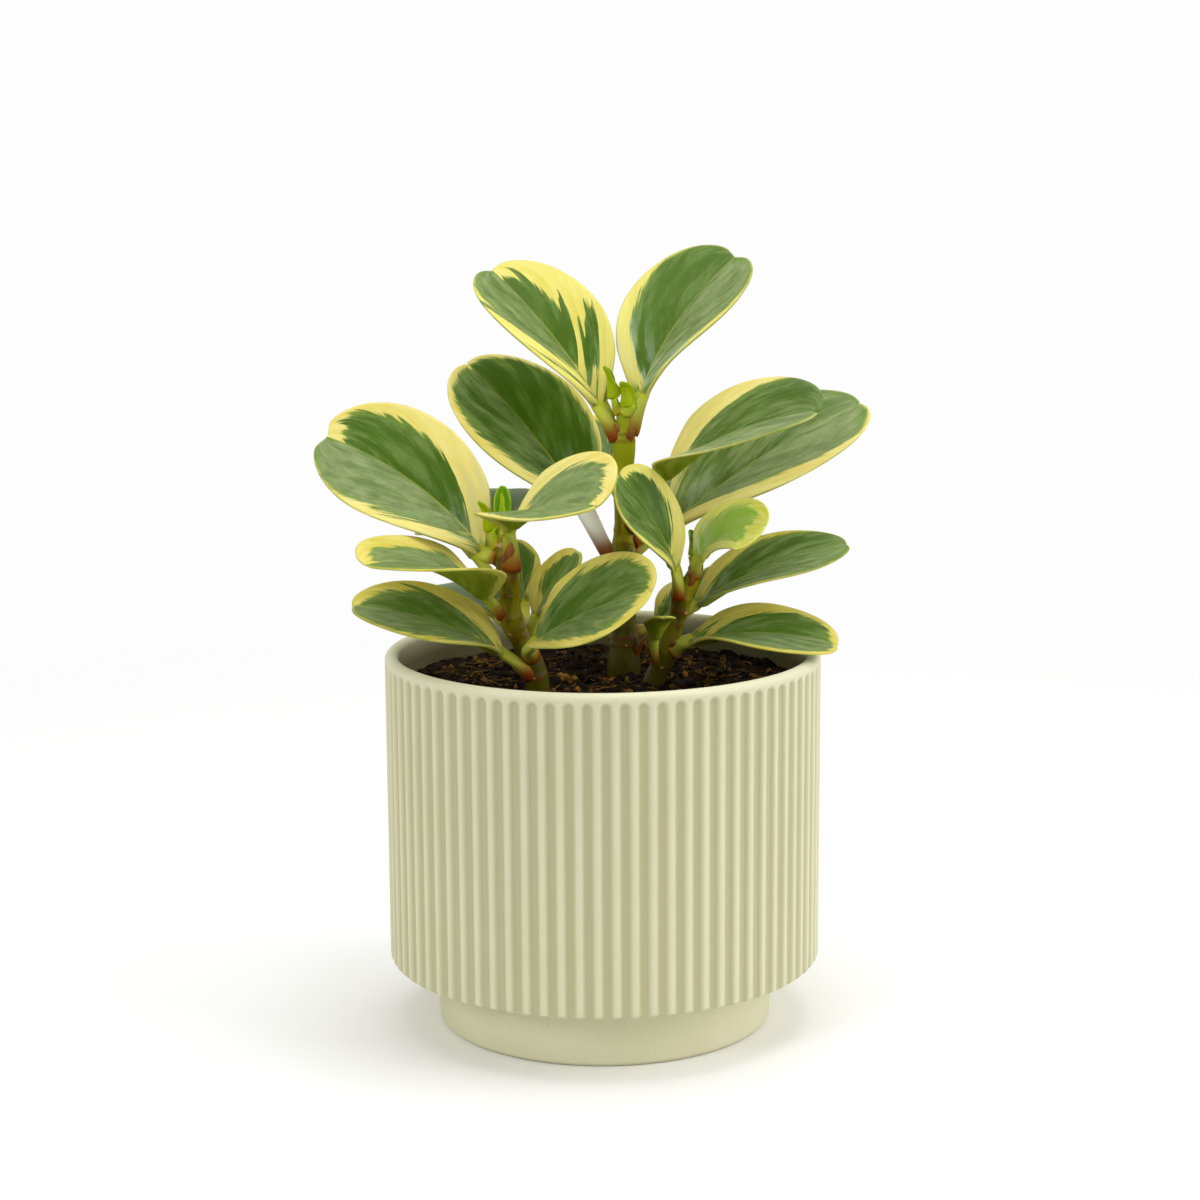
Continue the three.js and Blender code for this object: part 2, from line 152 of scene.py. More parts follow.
class Heap:
    """Many small shapes that become one mesh, with a tone at each of its points."""

    def __init__(self):
        self.points, self.faces, self.tones, self.count = [], [], [], 0

    def add(self, points, faces, tone):
        self.points.append(points)
        self.faces += [[self.count + k for k in face] for face in faces]
        self.tones.append(np.broadcast_to(tone, len(points)))
        self.count += len(points)

    def mesh(self, name):
        tones = {"tone": np.concatenate(self.tones)}
        print(name, "with", len(self.faces), "faces")
        return new_mesh(name, np.concatenate(self.points), self.faces, tones)


# %% Shader nodes as plain sums
class Wiring:
    """Adds nodes to one node tree. Each call gives back the output that the next call can use."""

    def __init__(self, tree):
        self.tree = tree

    def node(self, kind, sockets=(), output=0, **settings):
        made = self.tree.nodes.new(kind)
        for key, value in settings.items():
            setattr(made, key, value)
        self.fill(made.inputs, dict(sockets))
        return made.outputs[output]

    def fill(self, sockets, values):
        """Sets each named socket to its value, or links it where the value is another node's output."""
        for key, value in values.items():
            if isinstance(value, bpy.types.NodeSocket):
                self.tree.links.new(value, sockets[key])
            else:
                sockets[key].default_value = value

    def sum(self, operation, *values):
        return self.node("ShaderNodeMath", dict(enumerate(values)), operation=operation)

    def times(self, first, second):
        return self.sum("MULTIPLY", first, second)

    def plus(self, first, second):
        return self.sum("ADD", first, second)

    def ramp(self, value, low, high, to_low=0.0, to_high=1.0, kind="SMOOTHSTEP"):
        sockets = {0: value, 1: low, 2: high, 3: to_low, 4: to_high}
        return self.node("ShaderNodeMapRange", sockets, interpolation_type=kind)

    def between(self, share, first, second):
        return self.node("ShaderNodeMix", {0: share, 2: first, 3: second}, data_type="FLOAT")

    def blend(self, share, first, second):
        return self.node("ShaderNodeMix", {0: share, 6: first, 7: second}, output=2, data_type="RGBA")

    def vector(self, x, y, z):
        return self.node("ShaderNodeCombineXYZ", {0: x, 1: y, 2: z})

    def parts(self, vector):
        split = self.node("ShaderNodeSeparateXYZ", {0: vector}).node
        return split.outputs[0], split.outputs[1], split.outputs[2]

    def noise(self, vector, scale=1.0, detail=2.0, roughness=0.5):
        sockets = {"Vector": vector, "Scale": scale, "Detail": detail, "Roughness": roughness}
        return self.node("ShaderNodeTexNoise", sockets)

    def attribute(self, name, vector=False):
        output = 1 if vector else 2
        return self.node("ShaderNodeAttribute", output=output, attribute_name=name)

    def place(self):
        """The point's place on the object, in metres."""
        return self.node("ShaderNodeTexCoord", output=3)

    def bump(self, height, strength, distance):
        return self.node("ShaderNodeBump", {"Strength": strength, "Distance": distance, "Height": height})


def new_group(name, inputs, outputs):
    """A node group with named sockets: it is wired once, and each material gives its own values."""
    tree = bpy.data.node_groups.new(name, "ShaderNodeTree")
    for key, (kind, value) in inputs.items():
        socket = tree.interface.new_socket(name=key, in_out="INPUT", socket_type=f"NodeSocket{kind}")
        if value is not None:
            socket.default_value = value
    for key, kind in outputs.items():
        tree.interface.new_socket(name=key, in_out="OUTPUT", socket_type=f"NodeSocket{kind}")
    given = tree.nodes.new("NodeGroupInput").outputs
    result = tree.nodes.new("NodeGroupOutput").inputs
    return tree, Wiring(tree), given, result


def new_material(name, **shader):
    """A material with one Principled shader, whose sockets are set from the names given."""
    material = bpy.data.materials.new(name)
    material.use_nodes = True
    principled = material.node_tree.nodes["Principled BSDF"]
    for key, value in shader.items():
        principled.inputs[key.replace("_", " ")].default_value = value
    return material, Wiring(material.node_tree), principled


def use_group(wiring, group, values):
    """Places a group in a material with its own values, and gives back the node."""
    made = wiring.tree.nodes.new("ShaderNodeGroup")
    made.node_tree = group
    wiring.fill(made.inputs, values)
    return made


# %% [markdown]
# ## Fine grain, shared by every finish
# No real surface is perfectly even. One small group gives a fine mottle, stretched as wanted, that each
# finish uses for its tone, its gloss and its relief: glaze has a slight orange-peel skin, and leaves have a
# finely pebbled one.

# %% The grain group
grain_group, w, given, result = new_group(
    "surface_grain",
    {"Place": ("Vector", None), "Stretch": ("Vector", (1, 1, 1)), "Scale": ("Float", None),
     "Blotch": ("Float", None)},
    {"Grain": "Float", "Mottle": "Float"},
)
stretched = w.node("ShaderNodeVectorMath", {0: given["Place"], 1: given["Stretch"]}, operation="MULTIPLY")
w.fill(result, {
    "Grain": w.noise(stretched, given["Scale"], 3.0, 0.6),
    "Mottle": w.noise(stretched, given["Blotch"], 3.0, 0.5),
})
print("grain group:", len(grain_group.nodes), "nodes")


def grained(w, scale, blotch, stretch=(1, 1, 1)):
    """The grain and the mottle, at the scales that one material asks for."""
    values = {"Place": w.place(), "Stretch": stretch, "Scale": scale, "Blotch": blotch}
    made = use_group(w, grain_group, values)
    return made.outputs["Grain"], made.outputs["Mottle"]


# %% [markdown]
# ## The studio
# The plant stands in a white studio, a little darker on the photographer's side and below, with a broad
# soft light on each side and one over the top. The background that the camera sees should be almost pure
# white, but light of that strength from everywhere would wash the leaves out. The Light Path node tells the
# two apart: rays from the camera find a bright background, and all other rays find the studio's real,
# softer brightness. The Standard view transform keeps the whites white, as in a catalogue picture.

# %% White surroundings
BACKGROUND_BRIGHTNESS = 0.985
STUDIO_FRONT = 0.48
STUDIO_BACK = 0.82
STUDIO_UNDER = 0.45

bpy.context.scene.view_settings.view_transform = "Standard"
world = bpy.data.worlds.new("white_studio")
bpy.context.scene.world = world
world.use_nodes = True
w = Wiring(world.node_tree)
_, backwards, upwards = w.parts(w.node("ShaderNodeTexCoord"))
around = w.ramp(backwards, -0.9, 0.6, STUDIO_FRONT, STUDIO_BACK, kind="LINEAR")
below = w.ramp(upwards, -0.7, 0.05, STUDIO_UNDER, 1.0, kind="LINEAR")
brightness = w.between(w.node("ShaderNodeLightPath"), w.times(around, below), BACKGROUND_BRIGHTNESS)
w.fill(world.node_tree.nodes["Background"].inputs, {"Color": (1, 1, 1, 1), "Strength": brightness})
print("studio from", STUDIO_FRONT, "in front to", STUDIO_BACK, "behind")

# %% Three soft lights
LIGHTS = {
    # name: place in metres, side of the square lamp in metres, power in watts
    "window_right": ((0.90, -0.25, 0.50), 0.7, 4.7),
    "window_left": ((-0.65, -0.75, 0.60), 0.35, 2.9),
    "lamp_above": ((0.05, 0.05, 1.15), 0.7, 4.4),
}
AIM = Vector((0, 0, 0.12))

for name, (place, side, watts) in LIGHTS.items():
    lamp = bpy.data.lights.new(name, "AREA")
    lamp.size = side
    lamp.energy = watts
    holder = bpy.data.objects.new(name, lamp)
    holder.location = place
    holder.rotation_euler = (AIM - Vector(place)).to_track_quat("-Z", "Y").to_euler()
    bpy.context.scene.collection.objects.link(holder)
print(len(LIGHTS), "lights")

# %% [markdown]
# ## The floor
# A wide pale disc, which isn't part of the object. A floor is never quite as bright
# as the background, and its far edge would draw a horizon. So it fades out: its Alpha falls with the
# distance from the pot, and what is left of it near the pot catches the soft shadow. A floor this pale
# would also light the pot's foot from below more than a real one does. So the camera sees the pale tone,
# and the light that bounces meets a greyer one.

# %% The floor
FLOOR_RADIUS_MM = 1100
FLOOR_SIDES = 96
FADE_FROM, FADE_TO = 0.13, 0.75
FLOOR_BOUNCE = seen(222, 222, 220)

angles = np.linspace(0, 2 * math.pi, FLOOR_SIDES, endpoint=False)
floor_points = np.stack([np.cos(angles), np.sin(angles), 0 * angles], axis=1) * FLOOR_RADIUS_MM
floor_finish, w, shader = new_material("pale_floor", Roughness=0.7, Specular_IOR_Level=0.1)
_, mottle = grained(w, 60.0, 3.0)
floor_tone = w.blend(mottle, seen(250, 250, 249), seen(252, 252, 252))
is_seen = w.node("ShaderNodeLightPath")
from_pot = w.node("ShaderNodeVectorMath", {0: w.place()}, output=1, operation="LENGTH")
w.fill(shader.inputs, {
    "Base Color": w.blend(is_seen, FLOOR_BOUNCE, floor_tone),
    "Alpha": w.ramp(from_pot, FADE_FROM, FADE_TO, 1.0, 0.0),
})
floor_mesh = new_mesh("floor", floor_points, [list(range(FLOOR_SIDES))])
floor_mesh.materials.append(floor_finish)
floor = bpy.data.objects.new("floor", floor_mesh)
bpy.context.scene.collection.objects.link(floor)
print("floor", 2 * FLOOR_RADIUS_MM * MM, "m across")

# %% [markdown]
# ## The pot
# A glazed ceramic pot is turned, so its shape is one profile swept round an axis. The flutes are shallow
# hollows, each with a round top end under a plain band below the rim. They could be cut with bars, as the
# solid model does it, but glaze softens every edge, so here the profile's radius is pushed in point by
# point, by a depth that fades smoothly at each flute's sides and top. Each flute gets fourteen steps round,
# which is fine enough for a smooth shade.

# %% Measures of the pot, in millimetres
POT_HEIGHT = 116.5
POT_RADIUS = 67.2
WALL = 4.2
FLUTES = 78
FLUTE_DEPTH = 1.0
FLUTE_FLAT = 0.6
FLUTE_HALF = 2.35
FLUTE_TURN = 0.75  # degrees
FLUTE_TOP_CENTRE = 112.0
BAND_BOTTOM = 111.5
BODY_BOTTOM = 20
BODY_ROUND = 1.6
FOOT_RADIUS = 52
FOOT_ROUND = 1.6
FOOT_FLARE = 0.8
POT_FLOOR = 7
SHELF_ROUND = 6
INSIDE_RADIUS = POT_RADIUS - WALL
LIP = WALL / 2
STEPS_PER_FLUTE = 14
CORNER_STEPS = 7
LIP_STEPS = 13
MIDDLE_RING = 12
CREASE = 0.3
SHADE_STARTS = 1.2
SHADE_OVER = 6
PEAT_TOP = 105


def arc(radius_at, height_at, radius, start, end, steps):
    """Points of an arc in the profile, as (radius, height), between two angles in degrees."""
    angle = np.radians(np.linspace(start, end, steps))
    return np.stack([radius_at + radius * np.cos(angle), height_at + radius * np.sin(angle)], axis=1)


def line(start, end, steps):
    """Points of a straight run between two places in the profile, without its ends."""
    share = np.linspace(0, 1, steps + 2)[1:-1, None]
    return np.array(start) * (1 - share) + np.array(end) * share


# %% The pot's profile, from the middle of its underside round to the middle of its floor
outside = [
    [(MIDDLE_RING, 0)],
    arc(FOOT_RADIUS - FOOT_ROUND, FOOT_ROUND, FOOT_ROUND, -90, 0, CORNER_STEPS),
    line((FOOT_RADIUS, FOOT_ROUND), (FOOT_RADIUS + FOOT_FLARE, BODY_BOTTOM), 4),
    [(FOOT_RADIUS + FOOT_FLARE, BODY_BOTTOM - 0.25), (FOOT_RADIUS + FOOT_FLARE + CREASE, BODY_BOTTOM)],
    line((FOOT_RADIUS + FOOT_FLARE, BODY_BOTTOM), (POT_RADIUS - BODY_ROUND, BODY_BOTTOM), 3),
    arc(POT_RADIUS - BODY_ROUND, BODY_BOTTOM + BODY_ROUND, BODY_ROUND, -90, 0, CORNER_STEPS),
    line((POT_RADIUS, BODY_BOTTOM + BODY_ROUND), (POT_RADIUS, BAND_BOTTOM), 4),
    line((POT_RADIUS, BAND_BOTTOM - 0.2), (POT_RADIUS, POT_HEIGHT - LIP), LIP_STEPS),
    arc(POT_RADIUS - LIP, POT_HEIGHT - LIP, LIP, 0, 180, LIP_STEPS),
]
inside = [
    line((INSIDE_RADIUS, POT_HEIGHT - LIP), (INSIDE_RADIUS, PEAT_TOP), 4),
    line((INSIDE_RADIUS, PEAT_TOP), (INSIDE_RADIUS, BODY_BOTTOM + WALL + SHELF_ROUND), 2),
    arc(INSIDE_RADIUS - SHELF_ROUND, BODY_BOTTOM + WALL + SHELF_ROUND, SHELF_ROUND, 0, -90, 5),
    [(FOOT_RADIUS - WALL, BODY_BOTTOM + WALL), (FOOT_RADIUS - WALL, POT_FLOOR), (MIDDLE_RING, POT_FLOOR)],
]
profile = np.concatenate([np.asarray(run, float) for run in outside + inside])
outside_rows = sum(len(run) for run in outside[:-1])

# %% The pot's points
steps = FLUTES * STEPS_PER_FLUTE
pitch = 2 * math.pi / FLUTES
theta = np.linspace(0, 2 * math.pi, steps, endpoint=False)
sideways = POT_RADIUS * ((theta % pitch) - pitch / 2)
theta = theta + math.radians(FLUTE_TURN)
upwards = np.clip(profile[:, 1] - FLUTE_TOP_CENTRE, 0, None)
hollow = 1 - smoothstep(FLUTE_FLAT, FLUTE_HALF, np.hypot(sideways[None, :], upwards[:, None]))
radius = np.repeat(profile[:, :1], steps, axis=1)
on_outside = np.arange(len(profile)) < outside_rows
fluted = np.minimum(radius, POT_RADIUS - FLUTE_DEPTH * hollow)
radius[on_outside] = fluted[on_outside]
groove = np.clip(hollow, 0, 1) * (on_outside & (profile[:, 1] > BODY_BOTTOM + 0.2))[:, None]
height = np.repeat(profile[:, 1:], steps, axis=1)
pot_points = np.stack([radius * np.cos(theta), radius * np.sin(theta), height], axis=2).reshape(-1, 3)
print("pot:", len(profile), "rows of", steps, "points")

# %% The pot's faces, with a fan at each end on the axis
rows = len(profile)
pot_faces = loft_faces(rows, steps)
last_row = (rows - 1) * steps
pot_points = np.concatenate([pot_points, [[0, 0, 0], [0, 0, POT_FLOOR]]])
underside_middle, floor_middle = rows * steps, rows * steps + 1
for k in range(steps):
    following = (k + 1) % steps
    pot_faces.append([underside_middle, following, k])
    pot_faces.append([floor_middle, last_row + k, last_row + following])
groove = np.append(groove.ravel(), [0, 0])
# Painted shade inside the pot: the inside of the wall is marked darker and darker below the rim.
depth = np.clip((POT_HEIGHT - SHADE_STARTS - profile[:, 1]) / SHADE_OVER, 0, 1)
outwards = on_outside | (profile[:, 0] > INSIDE_RADIUS + 2 * CREASE)
wall_inside_shade = np.append(np.repeat(np.where(outwards, 0, depth), steps), [0, 1])
pot_mesh = new_mesh("glazed_pot", pot_points, pot_faces, {"groove": groove, "inside": wall_inside_shade})
print("pot:", len(pot_faces), "faces")

# %% [markdown]
# ## The glaze
# The glaze is a matte sage green. It is paler on the narrow ridges, partly because it runs thin there and
# partly as a painted highlight, and darker and greener in the flutes, partly because it pools there and
# partly as painted shade. Tiny specks and a faint mottle keep it from looking like plastic.

# %% The glaze
GLAZE_RIDGE_AND_HIGHLIGHT = seen(228, 225, 190)
GLAZE_BODY = seen(212, 209, 170)
GLAZE_POOL_AND_SHADE = seen(193, 190, 148)
GLAZE_SPECK = seen(150, 142, 108)
GLAZE_INSIDE_SHADE = seen(134, 126, 88)

glaze, w, shader = new_material("sage_glaze", Roughness=0.5, Coat_Weight=0.1, Coat_Roughness=0.3)
grain, mottle = grained(w, 900.0, 45.0)
# Painted highlight and painted shade on the flutes: the ridges are painted paler and the flutes darker, on
# top of the glaze's own thinning and pooling.
pooled_and_shaded = w.ramp(w.attribute("groove"), 0.35, 0.95)
thin_and_lit = w.ramp(w.attribute("groove"), 0.4, 0.0)
tone = w.blend(pooled_and_shaded, GLAZE_BODY, GLAZE_POOL_AND_SHADE)
tone = w.blend(w.times(thin_and_lit, 0.85), tone, GLAZE_RIDGE_AND_HIGHLIGHT)
tone = w.blend(w.ramp(mottle, 0.3, 0.75, 0.0, 0.16), tone, GLAZE_POOL_AND_SHADE)
# Painted shade on the inside of the wall, darker further down.
tone = w.blend(w.attribute("inside"), tone, GLAZE_INSIDE_SHADE)
speckle = w.noise(w.place(), 1500.0, 1.0, 0.5)
tone = w.blend(w.ramp(speckle, 0.73, 0.79, 0.0, 0.45), tone, GLAZE_SPECK)
w.fill(shader.inputs, {
    "Base Color": tone,
    "Roughness": w.ramp(mottle, 0.2, 0.8, 0.48, 0.64),
    "Normal": w.bump(grain, 0.25, 0.0001),
})
add_piece("glazed_pot", pot_mesh, glaze, "pot", "pot")

# %% [markdown]
# ## The peat
# Potting mix is dark brown crumbs, with golden fibres in it. A flat brown disc never looks right, because
# the eye reads the small shadows between crumbs. So the root ball's top is a fine uneven surface, with
# loose crumbs and thin bent fibres lying on it. All the crumbs are one mesh, and so are the fibres. Random
# numbers come from one seeded source, so each run gives the same peat.

# %% A smooth random height over the top
PEAT_SWELL = 0.84
PEAT_GAP = 0.3
PEAT_RADIUS = INSIDE_RADIUS - PEAT_GAP
PEAT_RINGS = 84
PEAT_STEPS = 300
LUMP_TABLE = 64
random = np.random.default_rng(29)


def lumps(x, y, size, seed):
    """Smooth random numbers from -1 to 1 over the plane, with lumps about size millimetres across."""
    table = np.random.default_rng(seed).uniform(-1, 1, (LUMP_TABLE, LUMP_TABLE))
    u, v = x / size + LUMP_TABLE / 2, y / size + LUMP_TABLE / 2
    i, j = np.floor(u).astype(int), np.floor(v).astype(int)
    s, t = smoothstep(0, 1, u - i), smoothstep(0, 1, v - j)
    i, j, next_i, next_j = (k % LUMP_TABLE for k in (i, j, i + 1, j + 1))
    low = table[i, j] * (1 - s) + table[next_i, j] * s
    high = table[i, next_j] * (1 - s) + table[next_i, next_j] * s
    return low * (1 - t) + high * t


def peat_height(x, y):
    swell = np.sin(0.31 * x + 0.7) * np.cos(0.27 * y) + 0.6 * np.sin(0.53 * y - 0.41 * x)
    crumbs = 0.8 * lumps(x, y, 4.1, 1) + 0.55 * lumps(x, y, 2.0, 2) + 0.3 * lumps(x, y, 1.0, 3)
    return PEAT_TOP + PEAT_SWELL * swell + crumbs


# %% The root ball
theta = np.linspace(0, 2 * math.pi, PEAT_STEPS, endpoint=False)
top_radius = PEAT_RADIUS * np.linspace(0.005, 1, PEAT_RINGS)
top_x, top_y = top_radius[:, None] * np.cos(theta), top_radius[:, None] * np.sin(theta)
top = np.stack([top_x, top_y, peat_height(top_x, top_y)], axis=2)
shelf = BODY_BOTTOM + WALL + PEAT_GAP
well = FOOT_RADIUS - WALL - PEAT_GAP
side = np.concatenate([
    line((PEAT_RADIUS, PEAT_TOP - 2), (PEAT_RADIUS, shelf + SHELF_ROUND), 2),
    arc(PEAT_RADIUS - SHELF_ROUND, shelf + SHELF_ROUND, SHELF_ROUND, 0, -90, 4),
    [(well, shelf), (well, POT_FLOOR + PEAT_GAP), (1, POT_FLOOR + PEAT_GAP)],
])
side_height = np.repeat(side[:, 1:], PEAT_STEPS, axis=1)
sides = np.stack([side[:, :1] * np.cos(theta), side[:, :1] * np.sin(theta), side_height], axis=2)
peat_points = np.concatenate([top, sides]).reshape(-1, 3)
peat_rows = PEAT_RINGS + len(side)
peat_faces = [face[::-1] for face in capped_faces(peat_rows, PEAT_STEPS)]
peat_mesh = new_mesh("root_ball", peat_points, peat_faces, {"tone": 0.25 + 0 * peat_points[:, 0]})
print("peat:", len(peat_faces), "faces")

# %% Loose crumbs, and one tan lump
CRUMBS = 1500
CRUMB_SIZES_MM = (0.3, 1.7)
CRUMB_MARGIN_MM = 2.2
MOSTLY_SMALL = 2.6
MOSTLY_DARK = 2.2
TAN_LUMPS = [
    # across, depth and size in millimetres
    (-11.5, 4.5, 1.9), (-9.5, 5.6, 1.5), (-13.2, 5.4, 1.4), (-10.6, 3.2, 1.2), (-12.6, 3.4, 1.0),
]
TAN_TONE = 1.0

import bmesh

ball = bmesh.new()
bmesh.ops.create_icosphere(ball, subdivisions=2, radius=1.0)
ball_points = np.array([v.co[:] for v in ball.verts])
ball_faces = [[v.index for v in f.verts] for f in ball.faces]
ball.free()
crumbs = Heap()
for _ in range(CRUMBS):
    reach = (PEAT_RADIUS - CRUMB_MARGIN_MM) * math.sqrt(random.uniform())
    turn = random.uniform(0, 2 * math.pi)
    x, y = reach * math.cos(turn), reach * math.sin(turn)
    low, high = CRUMB_SIZES_MM
    size = low + (high - low) * random.uniform() ** MOSTLY_SMALL
    stretch = size * random.uniform(0.55, 1.15, 3)
    rough = 1 + random.uniform(-0.26, 0.26, (len(ball_points), 1))
    axes = np.linalg.qr(random.normal(size=(3, 3)))[0]
    at = [x, y, float(peat_height(np.array(x), np.array(y))) + 0.15 * size]
    crumbs.add((ball_points * rough * stretch) @ axes + at, ball_faces, random.uniform() ** MOSTLY_DARK)
for x, y, size in TAN_LUMPS:
    rough = 1 + random.uniform(-0.3, 0.3, (len(ball_points), 1))
    at = [x, y, float(peat_height(x, y)) + 0.3 * size]
    crumbs.add(ball_points * rough * size * [1, 0.9, 0.7] + at, ball_faces, TAN_TONE)
crumb_mesh = crumbs.mesh("crumbs")

# %% Fibres
FIBRES = 420
FIBRE_SIDES = 5
FIBRE_ROWS = 9
FIBRE_RADII_MM = (0.1, 0.28)
FIBRE_LENGTHS_MM = (3, 12)
FIBRE_MARGIN_MM = 9


def tube(path, radii, sides):
    """Rings of points round a path."""
    along = unit(np.gradient(path, axis=0))
    across = unit(np.cross(along, [0.2, 0.1, 1.0]))
    over = np.cross(across, along)
    turn = np.linspace(0, 2 * math.pi, sides, endpoint=False)[None, :, None]
    ring = across[:, None] * np.cos(turn) + over[:, None] * np.sin(turn)
    return path[:, None] + ring * np.asarray(radii)[:, None, None]


fibres = Heap()
for _ in range(FIBRES):
    reach = (PEAT_RADIUS - FIBRE_MARGIN_MM) * math.sqrt(random.uniform())
    turn = random.uniform(0, 2 * math.pi)
    length, heading = random.uniform(*FIBRE_LENGTHS_MM), random.uniform(0, 2 * math.pi)
    bend = random.uniform(-1.4, 1.4)
    share = np.linspace(-0.5, 0.5, FIBRE_ROWS)
    x = reach * math.cos(turn) + length * share * np.cos(heading + bend * share)
    y = reach * math.sin(turn) + length * share * np.sin(heading + bend * share)
    lift = random.uniform(0.2, 1.3)
    path = np.stack([x, y, peat_height(x, y).mean() + lift + random.uniform(-1, 1.6) * share], axis=1)
    radii = random.uniform(*FIBRE_RADII_MM) * (1 - 0.6 * np.abs(2 * share) ** 2)
    rings = tube(path, radii, FIBRE_SIDES).reshape(-1, 3)
    fibres.add(rings, capped_faces(FIBRE_ROWS, FIBRE_SIDES), random.uniform(0.45, 1.0))
fibre_mesh = fibres.mesh("fibres")

# %% The peat's colours
PEAT_DARK = seen(24, 17, 11)
PEAT_BROWN = seen(60, 40, 16)
PEAT_GOLD = seen(158, 116, 48)

peat_finish, w, shader = new_material("moist_peat", Roughness=0.85, Specular_IOR_Level=0.12)
grain, mottle = grained(w, 1300.0, 260.0)
tone = w.plus(w.attribute("tone"), w.ramp(mottle, 0.3, 0.75, -0.2, 0.3))
colour = w.blend(w.ramp(tone, 0.15, 0.6), PEAT_DARK, PEAT_BROWN)
colour = w.blend(w.ramp(tone, 0.6, 1.15), colour, PEAT_GOLD)
w.fill(shader.inputs, {
    "Base Color": colour,
    "Roughness": w.ramp(grain, 0.3, 0.7, 0.7, 0.95),
    "Normal": w.bump(grain, 0.7, 0.0004),
})
add_piece("root_ball", peat_mesh, peat_finish, "soil", "soil")
add_piece("peat_crumbs", crumb_mesh, peat_finish, "soil")
add_piece("peat_fibres", fibre_mesh, peat_finish, "soil")

# %% [markdown]
# ## The plan of the plant
# A plant like this looks natural because no two leaves are alike, and it looks right only if each leaf is
# where the photograph has it. So each leaf is one entry in a table: where its stalk leaves the stem, where
# the blade begins and ends, how broad it is, and how it is rolled, folded and bent. Nearly the same numbers
# made the solids, so the pieces fit them.
# Its looks are in the same entry, as pairs for its left and right half: how broad the cream margin is, as a
# share of half the blade's width, how much of that is left at the tip, and how grey the green is, which on
# some halves also stands in for painted sheen. Single numbers say how far the broadest place lies towards
# the tip, how dark the green is, how far tongues of green and cream reach into each other, how much painted
# whitish sheen and waxy coat lie on the blade, how much painted sheen lies on the stalk, how deep the notch
# at the tip is, as a share of the leaf's length, how thick the stalk is, and how far the noise that draws
# the pattern is shifted.

# %% The stems: points of each centre line, and the radius there, in millimetres
STEMS = {
    "left": [
        (-19, -10, 84, 3.2), (-19.5, -10, 100, 3.4), (-20, -10.5, 107, 3.6), (-21.5, -11, 114, 3.6),
        (-25, -12, 122, 3.1), (-27.5, -13, 128, 3.6), (-28, -13.5, 134, 3.0), (-28.5, -14, 143, 3.5),
        (-29.5, -13, 148, 3.0), (-30.5, -12, 153, 1.8),
    ],
    "centre": [
        (7, 14, 84, 4.0), (6.5, 14, 100, 5), (6.5, 14.5, 107, 5.3), (6.8, 15, 114, 4.7),
        (6.8, 15.5, 124, 3.7), (6.8, 16, 138, 3.4), (6.8, 16, 144, 3.7), (7, 16.5, 152, 3.3),
        (7, 17, 168, 3.1), (7, 17, 177, 3.5), (7.2, 17, 184, 2.8), (6.5, 17, 190, 1.8),
    ],
    "right": [
        (13.5, -3, 86, 3.0), (14.5, -3, 100, 3.2), (15.5, -3, 106, 3.4), (17.5, -3.5, 111, 3.2),
        (19.5, -4, 116, 3.5), (21.5, -4, 123, 2.9), (23.3, -4, 129, 3.0), (24.5, -4, 134, 3.4),
        (27, -4, 138, 2.6), (29.5, -3.5, 143, 1.6),
    ],
}

# %% The leaves
PALE, YELLOW, OLIVE, FRESH, BUD = "pale", "yellow", "olive", "fresh", "bud"
USUAL_LEAF = dict(
    obovate=0.45, margins=(0.22, 0.22), at_tip=(0.6, 0.6), grey=(0.35, 0.35), cream=OLIVE, dark=0.5,
    tongues=0.2, bloom=0.1, stalk_bloom=0.05, dent=0.012, stalk=1.0, shift=0.0,
)


def leaf(node, joint, tip, width, roll=0, fold=6, arch=3, sway=0, **unusual):
    """One leaf of the table: its place and bend, and then only what isn't as usual."""
    places = dict(node=node, joint=np.array(joint, float), tip=np.array(tip, float), width=width)
    return USUAL_LEAF | places | dict(roll=roll, fold=fold, arch=arch, sway=sway) | unusual


def bud(node, joint, tip, width, fold=58):
    """A leaf that is still folded up."""
    return leaf(node, joint, tip, width, fold=fold, arch=0.3, obovate=-0.5, margins=(0.45, 0.45),
                at_tip=(1.0, 1.0), grey=(0, 0), cream=BUD, dark=0.8, tongues=0.0, dent=0.0, stalk=2.0)


